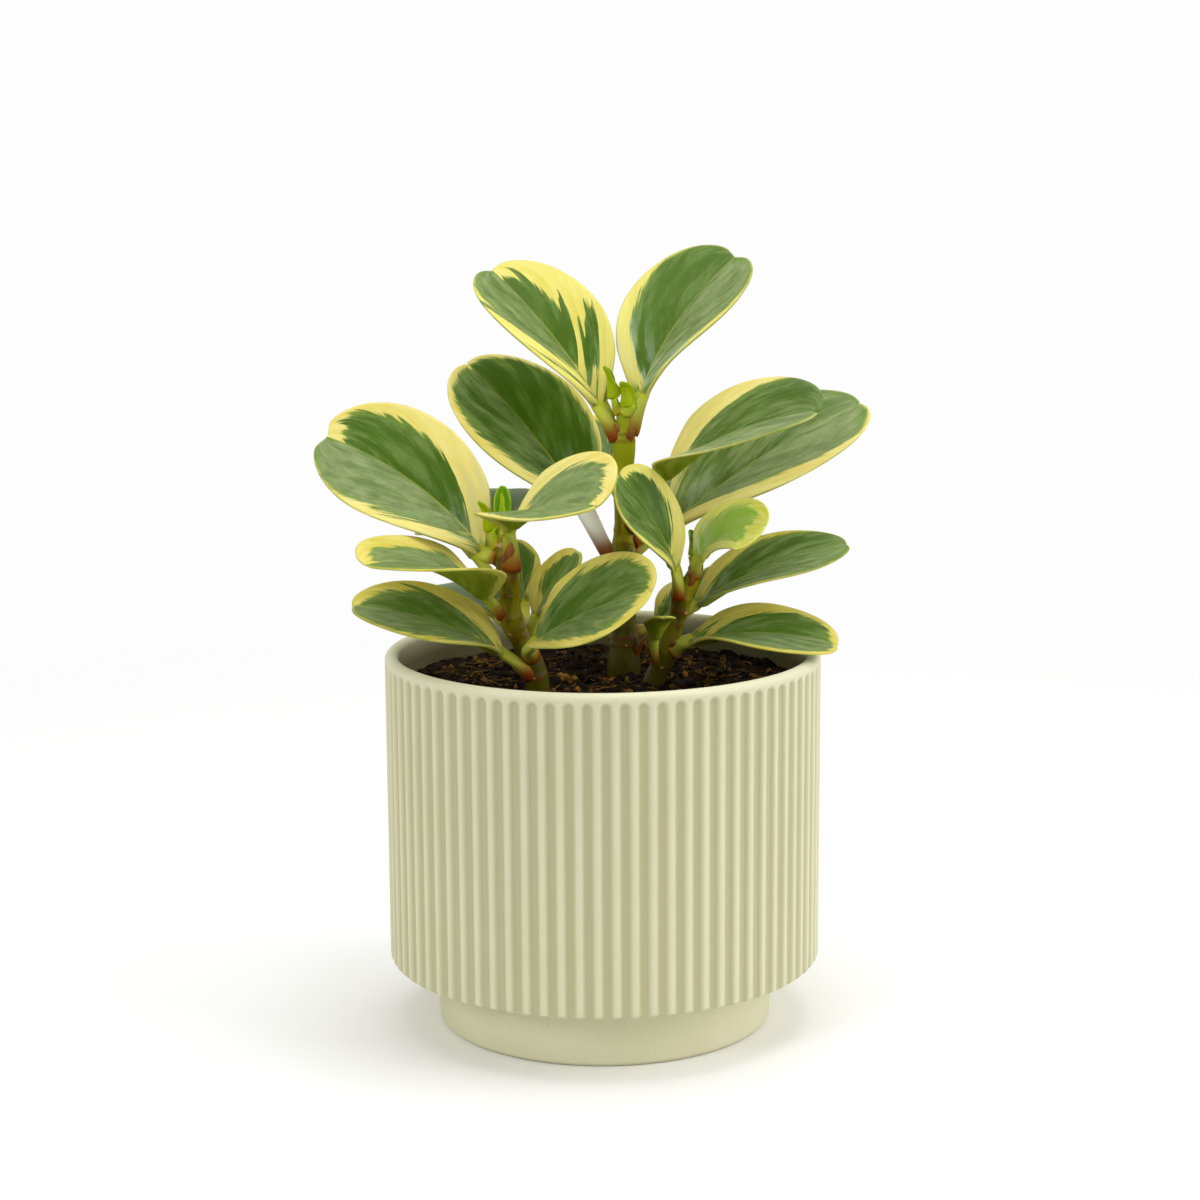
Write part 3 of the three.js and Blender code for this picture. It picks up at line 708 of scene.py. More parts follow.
LEAVES = {
    "left": {
        "left_top": leaf(146, (-36, -10, 149), (-84, 4, 182), 42, -45, 9, sway=3, obovate=0.3,
                         margins=(0.32, 0.5), at_tip=(0.0, 0.42), grey=(0.8, 0.2), cream=PALE, dark=0.85,
                         tongues=0.45, bloom=0.3, dent=0.04),
        "front_cup": leaf(142, (-27, -16, 157.5), (-2, -52, 168), 45, 23, 14, obovate=0.15,
                          margins=(0.42, 0.14), at_tip=(0.35, 0.25), grey=(0.7, 0.7), cream=PALE, dark=0.5),
        "left_mid": leaf(128, (-35.5, -16, 136), (-66.5, -52, 151.5), 37, -12, 10, 4, obovate=-0.1,
                         margins=(0.22, 0.45), at_tip=(0.1, 0.6), grey=(0.5, 0.8), dark=0.8),
        "left_low": leaf(109, (-30.5, -18, 119), (-73, -28, 135), 33, -22, obovate=0.05,
                         margins=(0.22, 0.48), at_tip=(0.1, 0.4), grey=(0.7, 0.4), dark=0.7,
                         tongues=0.5),
        "front_centre": leaf(115.4, (-20, -22, 123), (13.5, -45, 142), 43, 34, arch=1.5, sway=-0.5,
                             obovate=0.1, margins=(0.2, 0.26), at_tip=(0.5, 0.6), grey=(0.3, 0.55), dark=0.8),
        "small_front": leaf(116, (-20.5, -6.5, 128), (-8, -2.5, 147), 17, 20, arch=1, margins=(0.6, 0.15),
                            dark=0.6),
        "small_behind": leaf(122, (-24.3, 4, 130.5), (-27, 10, 148.5), 13, arch=1, margins=(0.1, 0.4),
                             dark=0.6),
        "left_back_mid": leaf(135, (-38.5, -1, 145.5), (-55, 14, 150.5), 19, margins=(0.2, 0.3), dark=0.8),
        "left_back_low": leaf(124, (-31, -4, 127), (-47, 30, 132), 27, -10, margins=(0.12, 0.3), dark=0.8),
        "left_back_top": leaf(140, (-30.5, 3, 150.5), (-30, 44, 160), 21, margins=(0.3, 0.2)),
        "young_left_a": bud(150, (-30, -10, 157), (-30, -8, 168), 8, fold=40),
        "young_left_b": bud(149, (-33.5, -11, 155), (-37, -12, 164), 7, fold=40),
    },
    "centre": {
        "top_left": leaf(178, (-0.5, 18, 190), (-34, 40, 230), 39, -22, 15, obovate=0.3,
                         margins=(0.55, 0.85), at_tip=(0.0, 0.35), grey=(0.7, 0.1), cream=YELLOW, dark=0.8,
                         tongues=0.8, dent=0.02, shift=1.3),
        "top_right": leaf(180, (12, 18, 193), (42.5, 42, 234), 41, 14, 13, 2, -2.5, margins=(0.34, 0.12),
                          at_tip=(0.0, 0.0), grey=(0.1, 0.8), cream=YELLOW, dark=0.7,
                          bloom=0.4, dent=0.03),
        "upper_left": leaf(138, (-6.5, 22, 158.5), (-42, 38, 200.5), 43.5, -30, 5, obovate=0.12,
                           margins=(0.28, 0.07), at_tip=(0.4, 0.8), grey=(0.4, 0.0), cream=PALE, dark=1.0,
                           tongues=0.15, stalk_bloom=1.0),
        "upper_right_front": leaf(150, (19.5, 10, 168.5), (62, -28, 192), 42, 29, 12, 4, obovate=0.12,
                                  margins=(0.56, 0.04), at_tip=(-0.25, 0.0), grey=(0.4, 0.8), cream=PALE,
                                  dark=0.9, tongues=0.1),
        "upper_right_back": leaf(146, (22, 21, 152), (81.5, 42, 187), 42, 26, 5, obovate=0.12,
                                 margins=(0.16, 0.42), at_tip=(0.0, 0.1), grey=(0.6, 0.9), cream=PALE,
                                 dark=0.8, bloom=0.2),
        "back_upper": leaf(158, (3, 29, 165), (-25, 66, 182), 33, arch=4, margins=(0.3, 0.2), cream=PALE),
        "back_right_mid": leaf(140, (15, 28, 147), (43, 68, 162), 34, arch=4, margins=(0.2, 0.35)),
        "back_right_low": leaf(116, (18, 26, 120), (44, 56, 127), 24, margins=(0.25, 0.15)),
        "back_left_low": leaf(114, (0, 26, 119), (-26, 54, 127), 32, arch=4, margins=(0.15, 0.3), dark=0.8),
        "young_centre_a": bud(187, (4.2, 17, 192), (1, 17, 202), 6, fold=50),
        "young_centre_b": bud(187, (8, 15.5, 190), (6.5, 13, 197.5), 7, fold=40),
    },
    "right": {
        "right_top_left": leaf(132, (22.3, -8, 142.5), (5.5, -16.5, 172), 27, -58, arch=2, obovate=0.6,
                               margins=(0.17, 0.4), at_tip=(0.2, 0.5), grey=(0.35, 0.0), cream=YELLOW,
                               dark=0.9),
        "right_small": leaf(139, (29.5, -6, 145.5), (49, -8, 155.5), 23, 34, arch=1, sway=-4,
                            margins=(0.2, 0.3), at_tip=(1.6, 1.4), grey=(0.1, 0.1), cream=FRESH, dark=0.6,
                            bloom=0.5),
        "right_mid": leaf(128, (29, -2, 130.5), (74, 2, 148), 27.5, 20, obovate=0.1, margins=(0.38, 0.04),
                          at_tip=(0.0, 0.0), grey=(0.4, 0.7), dark=1.0, tongues=0.1,
                          bloom=0.2),
        "right_low": leaf(115, (27, -6, 120), (70, -14, 120), 31, 16, margins=(0.34, 0.1),
                          at_tip=(0.5, 1.0), grey=(0.3, 0.6), dark=0.75, stalk=1.3),
        "right_back": leaf(124, (27.5, 6, 128), (50, 34, 135), 20, margins=(0.2, 0.2), dark=0.7),
        "centre_small": leaf(111, (15.8, -9.5, 122), (18.3, -21, 130), 10, arch=1, margins=(0.2, 0.2)),
        "young_right": bud(141, (28.5, -1, 145.5), (27, 1, 153), 6, fold=45),
    },
}
print(sum(len(own) for own in LEAVES.values()), "leaves on", len(STEMS), "stems")

# %% [markdown]
# ## The stems
# A stem is a round loft along a curved line. What makes it a stem, and not a pipe, is its joints: it swells
# where a leaf stands, and keeps a pale scar ring there, with a little dry scale of skin. The curve through
# the given points is a Catmull-Rom spline: it passes through every point, and its direction changes
# smoothly.

# %% A smooth curve through given points
def through(points, places):
    """Values of a smooth curve at places, which count the given points from 0."""
    points = np.asarray(points, float)
    lengthened = np.concatenate([2 * points[:1] - points[1:2], points, 2 * points[-1:] - points[-2:-1]])
    index = np.clip(np.floor(places).astype(int), 0, len(points) - 2)
    t = (places - index)[:, None]
    a, b, c, d = (lengthened[index + k] for k in range(4))
    slope_b, slope_c = (c - a) / 2, (d - b) / 2
    bulge = (2 * t**3 - 3 * t**2 + 1) * b + (t**3 - 2 * t**2 + t) * slope_b
    return bulge + (3 * t**2 - 2 * t**3) * c + (t**3 - t**2) * slope_c


# %% The stems' meshes
STEM_SIDES = 28
STEM_ROW_MM = 0.6
SCAR_RISE_MM = 0.16
SCAR_HALF_MM = 0.7
SCAR_ABOVE_MM = 1.2
WAIST_ABOVE_MM = 3.2
WAIST_HALF_MM = 1.2
WOBBLES = ((3, 0.25, 0.025), (7, -0.6, 0.012))
CAP_ROWS = 4
CAP_HEIGHT = 0.7  # as a share of the radius


def stem_mesh(name, points, leaf_heights):
    """A round loft along the stem's line, with a raised scar ring and a narrow waist above each leaf."""
    points = np.array(points, float)
    rows = int((points[-1, 2] - points[0, 2]) / STEM_ROW_MM)
    line4 = through(points, np.linspace(0, len(points) - 1, rows))
    centre, radius = line4[:, :3], line4[:, 3].copy()
    along = unit(np.gradient(centre, axis=0))
    right = unit(np.array([1.0, 0, 0]) - along * along[:, :1])
    back = np.cross(right, along)
    scar = np.zeros(rows)
    for at in leaf_heights:
        ring = np.exp(-(((centre[:, 2] - at - SCAR_ABOVE_MM) / SCAR_HALF_MM) ** 2))
        waist = np.exp(-(((centre[:, 2] - at - WAIST_ABOVE_MM) / WAIST_HALF_MM) ** 2))
        radius += SCAR_RISE_MM * (ring - 0.5 * waist)
        scar = np.maximum(scar, ring)
    turn = math.pi * (1 - 2 * np.arange(STEM_SIDES) / STEM_SIDES)
    wobble = 1 + sum(much * np.sin(times * turn + rate * centre[:, 2:]) for times, rate, much in WOBBLES)
    out = (radius[:, None] * wobble)[:, :, None]
    ring = right[:, None] * np.cos(turn)[None, :, None] + back[:, None] * np.sin(turn)[None, :, None]
    rings = centre[:, None] + ring * out
    # The end is a low dome. The figure just over 1 keeps its last ring from shrinking to a point.
    rise = np.linspace(0, 1, CAP_ROWS + 1)[1:, None, None]
    narrowing = 1 - np.sqrt(1.001 - rise**2)
    cap = rings[-1] + along[-1] * radius[-1] * CAP_HEIGHT * rise + (centre[-1] - rings[-1]) * narrowing
    rings = np.concatenate([rings, cap])
    scar = np.repeat(np.concatenate([scar, np.zeros(len(cap))]), STEM_SIDES)
    return new_mesh(name, rings.reshape(-1, 3), capped_faces(len(rings), STEM_SIDES), {"scar": scar})


# %% [markdown]
# Stem skin is olive green, redder near the joints, streaked lengthwise, and waxy. Near the soil it is painted
# darker, as painted shade under the leaves.

# %% The stem's skin
STEM_OLIVE = seen(144, 134, 6)
STEM_FRESH = seen(158, 166, 8)
STEM_DARK_AND_SHADE = seen(76, 72, 4)
STEM_RED = seen(118, 52, 12)
STEM_SCAR = seen(206, 168, 140)

stem_skin, w, shader = new_material("stem_skin", Roughness=0.4, Specular_IOR_Level=0.18)
grain, mottle = grained(w, 1100.0, 220.0, stretch=(1, 1, 0.25))
patches = w.noise(w.place(), 420.0, 2.0, 0.5)
height = w.parts(w.place())[2]
colour = w.blend(w.ramp(mottle, 0.38, 0.66), STEM_OLIVE, STEM_DARK_AND_SHADE)
colour = w.blend(w.ramp(height, 0.150, 0.178, 0.0, 0.9), colour, STEM_FRESH)
# Painted shade: the stems darken towards the soil, under the leaves.
colour = w.blend(w.ramp(height, 0.134, 0.108, 0.0, 0.9), colour, STEM_DARK_AND_SHADE)
scar = w.attribute("scar")
reddish = w.times(w.ramp(scar, 0.0, 0.9), w.ramp(mottle, 0.4, 0.62, 0.0, 0.5))
colour = w.blend(reddish, colour, STEM_RED)
flecked = w.times(w.ramp(scar, 0.5, 0.9), w.ramp(patches, 0.6, 0.64, 0.0, 0.7))
colour = w.blend(flecked, colour, STEM_SCAR)
w.fill(shader.inputs, {
    "Base Color": colour,
    "Roughness": w.ramp(mottle, 0.2, 0.8, 0.3, 0.48),
    "Normal": w.bump(grain, 0.3, 0.0002),
})
for name, points in STEMS.items():
    mesh = stem_mesh(f"{name}_stem", points, [own["node"] for own in LEAVES[name].values()])
    add_piece(f"{name}_stem", mesh, stem_skin, "stem", f"stem_{name}")
    print(name, "stem:", len(mesh.polygons), "faces")

# %% [markdown]
# Where a leaf has opened, the little sheath that wrapped it stays behind: a short pointed scale, red-brown
# and waxy, hollow on the side towards the stem. Each is a small loft that starts on the stem's skin and
# bends outwards.

# %% Small red-brown sheaths at the joints
SHEATHS = [
    # stem, height on it, heading in degrees from +X, length, half width, how far it leans out
    ("left", 144.0, -75, 9.0, 1.9, 0.25), ("left", 129.0, -150, 5.0, 1.3, 0.5),
    ("left", 117.0, -40, 5.5, 1.5, 0.5), ("left", 113.5, -95, 4.0, 1.2, 0.5),
    ("centre", 111.0, -25, 8.5, 2.1, 0.55), ("centre", 178.0, -50, 6.5, 1.6, 0.3),
    ("centre", 180.5, -140, 4.5, 1.2, 0.25), ("right", 135.0, -40, 8.5, 1.5, 0.35),
    ("right", 131.0, -130, 4.5, 1.3, 0.4), ("right", 112.5, -150, 7.0, 1.7, 0.5),
    ("right", 117.0, -60, 3.5, 1.2, 0.6),
]
SHEATH_ROWS = 14
SHEATH_STEPS = 12
SHEATH_SUNK_MM = 0.5

sheaths = Heap()
for stem, height, heading, length, half, lean in SHEATHS:
    points = np.array(STEMS[stem], float)
    axis = np.array([np.interp(height, points[:, 2], points[:, k]) for k in (0, 1)])
    girth = np.interp(height, points[:, 2], points[:, 3])
    out = np.array([math.cos(math.radians(heading)), math.sin(math.radians(heading)), 0])
    t = np.linspace(0, 1, SHEATH_ROWS)
    # It starts under the skin, leans out more and more, and is hollow on the stem's side.
    path = np.append(axis, height) + out * (girth - SHEATH_SUNK_MM + lean * length * t**1.4)[:, None]
    path = path + np.array([0, 0, 1]) * (length * t)[:, None]
    breadth = half * np.sqrt(np.clip(1 - t**2.2, 0.002, 1)) * (0.85 + 0.3 * np.sin(math.pi * t))
    turn = np.linspace(0, 2 * math.pi, SHEATH_STEPS, endpoint=False)
    side = np.cross(out, [0, 0, 1])
    curl = -0.35 * breadth[:, None] * np.cos(turn) ** 2 + 0.4 * np.sqrt(breadth)[:, None] * np.sin(turn)
    rings = path[:, None] + side * (breadth[:, None] * np.cos(turn))[..., None] + out * curl[..., None]
    sheaths.add(rings.reshape(-1, 3), capped_faces(SHEATH_ROWS, SHEATH_STEPS), np.repeat(t, SHEATH_STEPS))
sheath_mesh = sheaths.mesh("sheaths")

sheath_skin, w, shader = new_material("sheath_skin", Roughness=0.3, Specular_IOR_Level=0.4)
grain, mottle = grained(w, 1300.0, 300.0, stretch=(1, 1, 0.3))
colour = w.blend(w.ramp(w.attribute("tone"), 0.15, 1.0), seen(138, 66, 22), seen(170, 122, 56))
colour = w.blend(w.ramp(mottle, 0.35, 0.7, 0.0, 0.6), colour, seen(98, 40, 14))
w.fill(shader.inputs, {
    "Base Color": colour,
    "Roughness": w.ramp(mottle, 0.2, 0.8, 0.22, 0.42),
    "Normal": w.bump(grain, 0.3, 0.0002),
})
add_piece("red_sheaths", sheath_mesh, sheath_skin, "stem")

# %% [markdown]
# ## The leaves' shape
# Each leaf is one loft from the stem to its tip: a round stalk first, which opens into the blade. The rows
# of the blade aren't straight across. They sweep forwards from the midrib to the margin, as this plant's
# veins do, so that the pattern of colours can later follow the veins. The blade is thickest in the middle,
# rounded at the rim, folded a little along the midrib, with a low keel under it.

# %% Measures shared by all the leaves
# In millimetres: the blade, its rolled rim, the keel below the midrib, the groove and the valley above it,
# the height of the waves, and the stalk of a leaf of usual width.
BLADE_THICKNESS, RIM_THICKNESS, RIM_ROUND = 1.2, 0.7, 0.5
KEEL_DEPTH, KEEL_HALF = 1.6, 2.4
MIDRIB_DEPTH, MIDRIB_HALF = 0.22, 0.9
VALLEY = 0.9
RIPPLE = 0.5
STALK_RADIUS, USUAL_WIDTH = 2.1, 38
STALK_START_UNDER_SKIN = 1.0

# As shares of the leaf's length: how far the keel goes, how far the rim passes the midrib's end, and how
# far the blade and its breadth need to take over from the stalk.
KEEL_LENGTH = 0.8
TIP_REACH = 0.04
JOINT_LENGTH, NECK_LENGTH = 0.2, 0.4

# As powers: how late a vein leaves the midrib, and how it curves forwards.
VEIN_SWEEP, VEIN_CURVE = 1.8, 1.3

# The waves turn so many times faster than the rows' angle, and are shifted by so many radians at each leaf.
RIPPLE_WAVES, RIPPLE_SHIFT = 6, 2.4

# The tip's dent is felt where the cosine of the rows' angle is about this small.
TIP_DENT_SPREAD = 0.08

# In degrees: how much more the blade is folded at its base.
BASE_FOLD = 28

# As shares of the stalk's length: how long its swelling at the stem is, how far its two handles reach
# along the curve, the latest start inside the stem, and from where to where it opens out.
STALK_SWELL_LENGTH = 0.16
STALK_BEND = 0.4
STALK_LATEST_START = 0.45
STALK_OPENING = (0.35, 1.1)

# As shares of what they change: how thick the stalk starts, how much it swells, how steeply it rises, how
# much it widens, flattens and hollows, and how much of the midrib's groove is gone at the tip.
STALK_ROOT, STALK_SWELL, STALK_RISE = 1.2, 0.22, 0.8
STALK_OPENS, STALK_FLATTENS, STALK_HOLLOW = 0.55, 0.3, 0.25
MIDRIB_FADES = 0.7

STALK_ROWS, BLADE_ROWS = 16, 64
HALF_ACROSS = [0, 0.03, 0.07, 0.13, 0.22, 0.34, 0.47, 0.6, 0.72, 0.82, 0.9, 0.955, 0.985, 1.0]
# Each row of the blade is an angle, and its share of the way along is the angle's squared sine. So the rows
# crowd together at the base and at the tip, where the outline turns fastest.
ROW_ANGLES = np.radians(np.concatenate([np.linspace(2.5, 12, 6)[:-1], np.linspace(12, 89.2, BLADE_ROWS)]))
across_top = np.array([-v for v in HALF_ACROSS[:0:-1]] + HALF_ACROSS)
across_ring = np.concatenate([across_top, across_top[-2:0:-1]])
ring_is_under = np.arange(len(across_ring)) >= len(across_top)


# %% The midrib and the directions of the blade
def leaf_frame(own):
    """The midrib's points and directions as functions of the share of the way along it."""
    chord = own["tip"] - own["joint"]
    along = unit(chord)
    flat_up = unit(np.array([0, 0, 1.0]) - along * along[2])
    flat_right = np.cross(along, flat_up)
    roll = math.radians(own["roll"])
    face = flat_up * math.cos(roll) + flat_right * math.sin(roll)
    right = flat_right * math.cos(roll) - flat_up * math.sin(roll)
    bow = face * own["arch"] + right * own["sway"]

    def at(u):
        u = np.asarray(u, float)[..., None]
        return own["joint"] + chord * u + bow * (4 * u * (1 - u))

    def directions(u):
        u = np.asarray(u, float)[..., None]
        tangent = unit(chord + bow * (4 - 8 * u))
        normal = unit(face - tangent * (tangent @ face)[..., None])
        return tangent, normal, np.cross(tangent, normal)

    return at, directions, face


# %% The stalk's cross-section
def stalk_section(opening):
    """Across and upwards, for a radius of 1: round at first, then wider and flatter, hollow on top."""
    upwards = np.where(ring_is_under, -1, 1) * np.sqrt(np.clip(1 - across_ring**2, 0, 1))
    hollow = 1 - STALK_HOLLOW * opening * ~ring_is_under * (1 - across_ring**2)
    return across_ring * (1 + STALK_OPENS * opening), upwards * hollow * (1 - STALK_FLATTENS * opening)


# %% The blade's rings
def blade_rings(own, at, directions, stalk_radius, phase):
    """A ring of points for each row, which grows out of the stalk and runs forwards along the veins."""
    b = ROW_ANGLES[:, None]
    v = across_ring[None, :]
    size = np.abs(v)
    # How far along the midrib a row starts, and how far along it has come at the margin.
    along = np.sin(b) ** 2
    reach = (1 + TIP_REACH) * along - own["dent"] * np.exp(-((np.cos(b) / TIP_DENT_SPREAD) ** 2))
    start = along**VEIN_SWEEP
    # Half the breadth at each row, as a share of the greatest, which the last line makes 1.
    o = own["obovate"]
    share = np.sin(b) ** (1 + o) * np.cos(b)
    share = share / (((1 + o) / (2 + o)) ** ((1 + o) / 2) * (1 / (2 + o)) ** 0.5)
    u = start + (reach - start) * size**VEIN_CURVE
    fold = np.radians(own["fold"] + BASE_FOLD * (1 - u) ** 2)
    tangent, normal, side = directions(u)
    neck = stalk_radius * (1 + STALK_OPENS) * (1 - smoothstep(0, NECK_LENGTH, along))
    breadth = np.sqrt((share * own["width"] / 2) ** 2 + neck**2)
    # The middle of the blade's thickness: both halves rise from the midrib, which is a rounded valley.
    out = breadth * v
    rise = np.sqrt(out**2 + VALLEY**2) - VALLEY
    ripple = RIPPLE * np.sin(RIPPLE_WAVES * b + phase + v) * (share * v) ** 2
    spread, height = out * np.cos(fold), rise * np.sin(fold) + ripple
    middle = at(u) + side * spread[..., None] + normal * height[..., None]
    steep = out / np.sqrt(out**2 + VALLEY**2)
    upright = unit(normal * np.cos(fold)[..., None] - side * (steep * np.sin(fold))[..., None])
    # Its thickness: half above and half below, round at the rim, with a keel under the midrib.
    to_rim = (1 - size) * breadth
    rounded = np.sqrt(1 - (1 - np.clip(to_rim / RIM_ROUND, 0, 1)) ** 2)
    half = (BLADE_THICKNESS + (RIM_THICKNESS - BLADE_THICKNESS) * size) / 2 * rounded
    keel = KEEL_DEPTH * np.exp(-((out / KEEL_HALF) ** 2)) * (1 - smoothstep(0, KEEL_LENGTH, u)) * rounded
    channel = MIDRIB_DEPTH * np.exp(-((out / MIDRIB_HALF) ** 2)) * (1 - MIDRIB_FADES * u) * rounded
    lift = np.where(ring_is_under[None, :], -half - keel, half - channel)
    blade = middle + upright * lift[..., None]
    # The stalk's section carried on into the blade, which takes over from it row by row.
    _, normal0, side0 = directions(start)
    sideways, upwards = stalk_section(np.ones((1, 1)))
    sideways, upwards = sideways * stalk_radius, upwards * stalk_radius
    stalk = at(start) + side0 * sideways[..., None] + normal0 * upwards[..., None]
    blending = smoothstep(0, JOINT_LENGTH, along)[..., None]
    rings = stalk * (1 - blending) + blade * blending
    return rings, np.broadcast_to(along, u.shape), out


# %% The stalk's rings
def stalk_rings(own, at, directions, face, stalk_radius, stem_points):
    """Rings from inside the stem's skin to the joint, along a curve that leaves the stem up and outwards."""
    stem_points = np.array(stem_points, float)
    axis = [np.interp(own["node"], stem_points[:, 2], stem_points[:, k]) for k in (0, 1, 3)]
    root, stem_radius = np.array([axis[0], axis[1], own["node"]]), axis[2]
    joint = own["joint"]
    run = np.linalg.norm(joint - root)
    away = joint - root
    away[2] = 0
    away = unit(unit(away) + np.array([0, 0, STALK_RISE]))
    first, second = root + away * run * STALK_BEND, joint - directions(0.0)[0] * run * STALK_BEND
    start = min(STALK_LATEST_START, (stem_radius - STALK_START_UNDER_SKIN) / run)
    t = np.linspace(start, 1, STALK_ROWS + 1)[:-1, None]
    path = root * (1 - t) ** 3 + first * 3 * t * (1 - t) ** 2 + second * 3 * t**2 * (1 - t) + joint * t**3
    slopes = first - root, second - first, joint - second
    tangent = unit(slopes[0] * (1 - t) ** 2 + slopes[1] * 2 * t * (1 - t) + slopes[2] * t**2)
    normal = unit(face - tangent * (tangent @ face)[:, None])
    side = np.cross(tangent, normal)
    swell = STALK_SWELL * np.exp(-(((t - t[0]) / STALK_SWELL_LENGTH) ** 2))
    radius = stalk_radius * (STALK_ROOT + (1 - STALK_ROOT) * t + swell)
    sideways, upwards = stalk_section(smoothstep(*STALK_OPENING, t) / smoothstep(*STALK_OPENING, 1.0))
    ring = side[:, None] * sideways[..., None] + normal[:, None] * upwards[..., None]
    return path[:, None] + ring * radius[:, None], t


# %% One leaf's mesh
MARGIN_SAMPLES = 6


def rim_distance(points, rim_points):
    """How far each point is from the blade's rim, in millimetres."""
    gaps = np.linalg.norm(points[:, None] - rim_points[None], axis=2)
    return gaps.min(axis=1)


def leaf_mesh(name, own, stem_points, number):
    """One leaf. Its attribute where holds the share along, the share across and the share of the way in from
    the rim, and its attribute measures says if a point is on the underside, and how far it is from the midrib
    and from the rim."""
    at, directions, face = leaf_frame(own)
    stalk_radius = STALK_RADIUS * math.sqrt(own["width"] / USUAL_WIDTH) * own["stalk"]
    stalk, t = stalk_rings(own, at, directions, face, stalk_radius, stem_points)
    blade, along, out = blade_rings(own, at, directions, stalk_radius, number * RIPPLE_SHIFT)
    count = len(across_ring)
    last = len(across_top) - 1
    rim = np.concatenate([blade[3:, 0], blade[:, last][::-1]])
    places = np.linspace(0, len(rim) - 1, len(rim) * MARGIN_SAMPLES)
    rim = np.stack([np.interp(places, np.arange(len(rim)), rim[:, k]) for k in range(3)], axis=1)
    to_rim = rim_distance(blade.reshape(-1, 3), rim).reshape(blade.shape[:2])
    rings = np.concatenate([stalk, blade])
    total = len(rings)
    faces = loft_faces(total, count)
    for k in range(last):
        near, far = (0 if k == 0 else count - k), count - k - 1
        end = (total - 1) * count
        start_face = [k, near, far, k + 1]
        end_face = [end + k, end + k + 1, end + far, end + near]
        faces.append(list(dict.fromkeys(start_face)))
        faces.append(list(dict.fromkeys(end_face)))
    flat = np.zeros((len(stalk), count))
    under = np.broadcast_to(ring_is_under, (total, count)).astype(float)
    half_width = own["width"] / 2
    where = np.stack([
        np.concatenate([np.repeat(t - 1, count, axis=1), along]),
        np.broadcast_to(across_ring, (total, count)),
        np.concatenate([flat + 1, to_rim / half_width]),
    ], axis=2).reshape(-1, 3)
    measures = np.stack([
        under,
        np.concatenate([flat, out]),
        np.concatenate([flat + half_width, to_rim]),
    ], axis=2).reshape(-1, 3)
    return new_mesh(name, rings.reshape(-1, 3), faces, {"where": where, "measures": measures})


# %% [markdown]
# ## The leaves' colours
# In a variegated leaf, the outermost layer of cells has no green in it, so the margin is cream. The green
# below ends in feathered teeth, because cells divide along the veins. Painting that by hand would take an
# image for each leaf. Instead one node group works it out: a noise that hardly changes along a vein, but
# quickly from vein to vein, moves the edge of the green in and out. A second edge, further in, bounds the
# palest green, and a third noise picks streaks of grey-green, which on some halves also stand in for painted
# sheen. The stalk, midrib, rim and underside get their own colours in the same group, and so does a painted
# whitish sheen near the blade's base and on the stalk.

# %% The variegation group
GREY_GREEN = seen(144, 158, 104)
VEIN_SLANT = 0.42
HALVES_APART = 7.3
AMOUNTS = (
    "Seed", "Left margin", "Right margin", "Left at tip", "Right at tip", "Left grey", "Right grey",
    "Darkness", "Tongues", "Sheen and wax", "Stalk bloom",
)
COLOURS = (
    "Cream", "Cream deep", "Deep green", "Mid green", "Under green", "Under cream", "Stalk", "Stalk foot",
)
inputs = {name: ("Vector", None) for name in ("Where", "Measures")}
inputs |= {name: ("Float", None) for name in AMOUNTS} | {name: ("Color", None) for name in COLOURS}
outputs = {"Colour": "Color", "Streaks": "Float", "Gloss": "Float", "Wax": "Float"}
variegation, w, given, result = new_group("variegation", inputs, outputs)
along, across, edge = w.parts(given["Where"])
under, offset, to_rim = w.parts(given["Measures"])
on_right = w.ramp(across, -0.02, 0.02)
margin = w.between(on_right, given["Left margin"], given["Right margin"])
at_tip = w.between(on_right, given["Left at tip"], given["Right at tip"])
# On some halves the grey share also paints a grey-white sheen: a painted reflection on top of the real
# grey-green.
grey_and_sheen_share = w.between(on_right, given["Left grey"], given["Right grey"])
seed = w.sum("MULTIPLY_ADD", on_right, HALVES_APART, given["Seed"])

# %% Noises that follow the veins
from_midrib = w.sum("ABSOLUTE", across)
vein = w.sum("MULTIPLY_ADD", from_midrib, -VEIN_SLANT, along)


def vein_noise(vein_scale, across_scale, detail, roughness):
    """A noise drawn out along the veins: it changes quickly from vein to vein, and slowly along each."""
    place = w.vector(w.times(vein, vein_scale), w.times(from_midrib, across_scale), seed)
    return w.noise(place, 1.0, detail, roughness)


broad = vein_noise(4.0, 0.6, 1.0, 0.5)
tongues = vein_noise(9.0, 0.9, 2.0, 0.5)
teeth = vein_noise(32.0, 4.2, 3.0, 0.6)
streaks = vein_noise(9.0, 2.6, 4.0, 0.58)
fine = vein_noise(62.0, 6.5, 3.0, 0.6)
mottle_place = w.vector(w.times(along, 13.0), w.times(across, 6.0), seed)
mottle = w.noise(mottle_place, 1.0, 3.0, 0.6)

# %% Where the cream margin ends
towards_tip = w.ramp(along, 0.15, 1.0, 1.0, at_tip)
towards_base = w.ramp(along, 0.0, 0.42, 0.2, 1.0)
swing = w.ramp(broad, 0.3, 0.7, 0.75, 1.25)
width = w.times(w.times(margin, w.times(towards_tip, towards_base)), swing)
reach_of_tongues = w.times(w.plus(width, 0.03), given["Tongues"])
tongue_depth = w.times(w.ramp(tongues, 0.47, 0.6, 0.15, -0.9), reach_of_tongues)
tooth_depth = w.times(w.ramp(teeth, 0.3, 0.7, -0.055, 0.055), w.ramp(width, 0.0, 0.2, 0.1, 1.0))
cream_edge = w.plus(w.plus(width, tongue_depth), tooth_depth)
cream = w.ramp(edge, w.plus(cream_edge, 0.05), w.sum("SUBTRACT", cream_edge, 0.03))

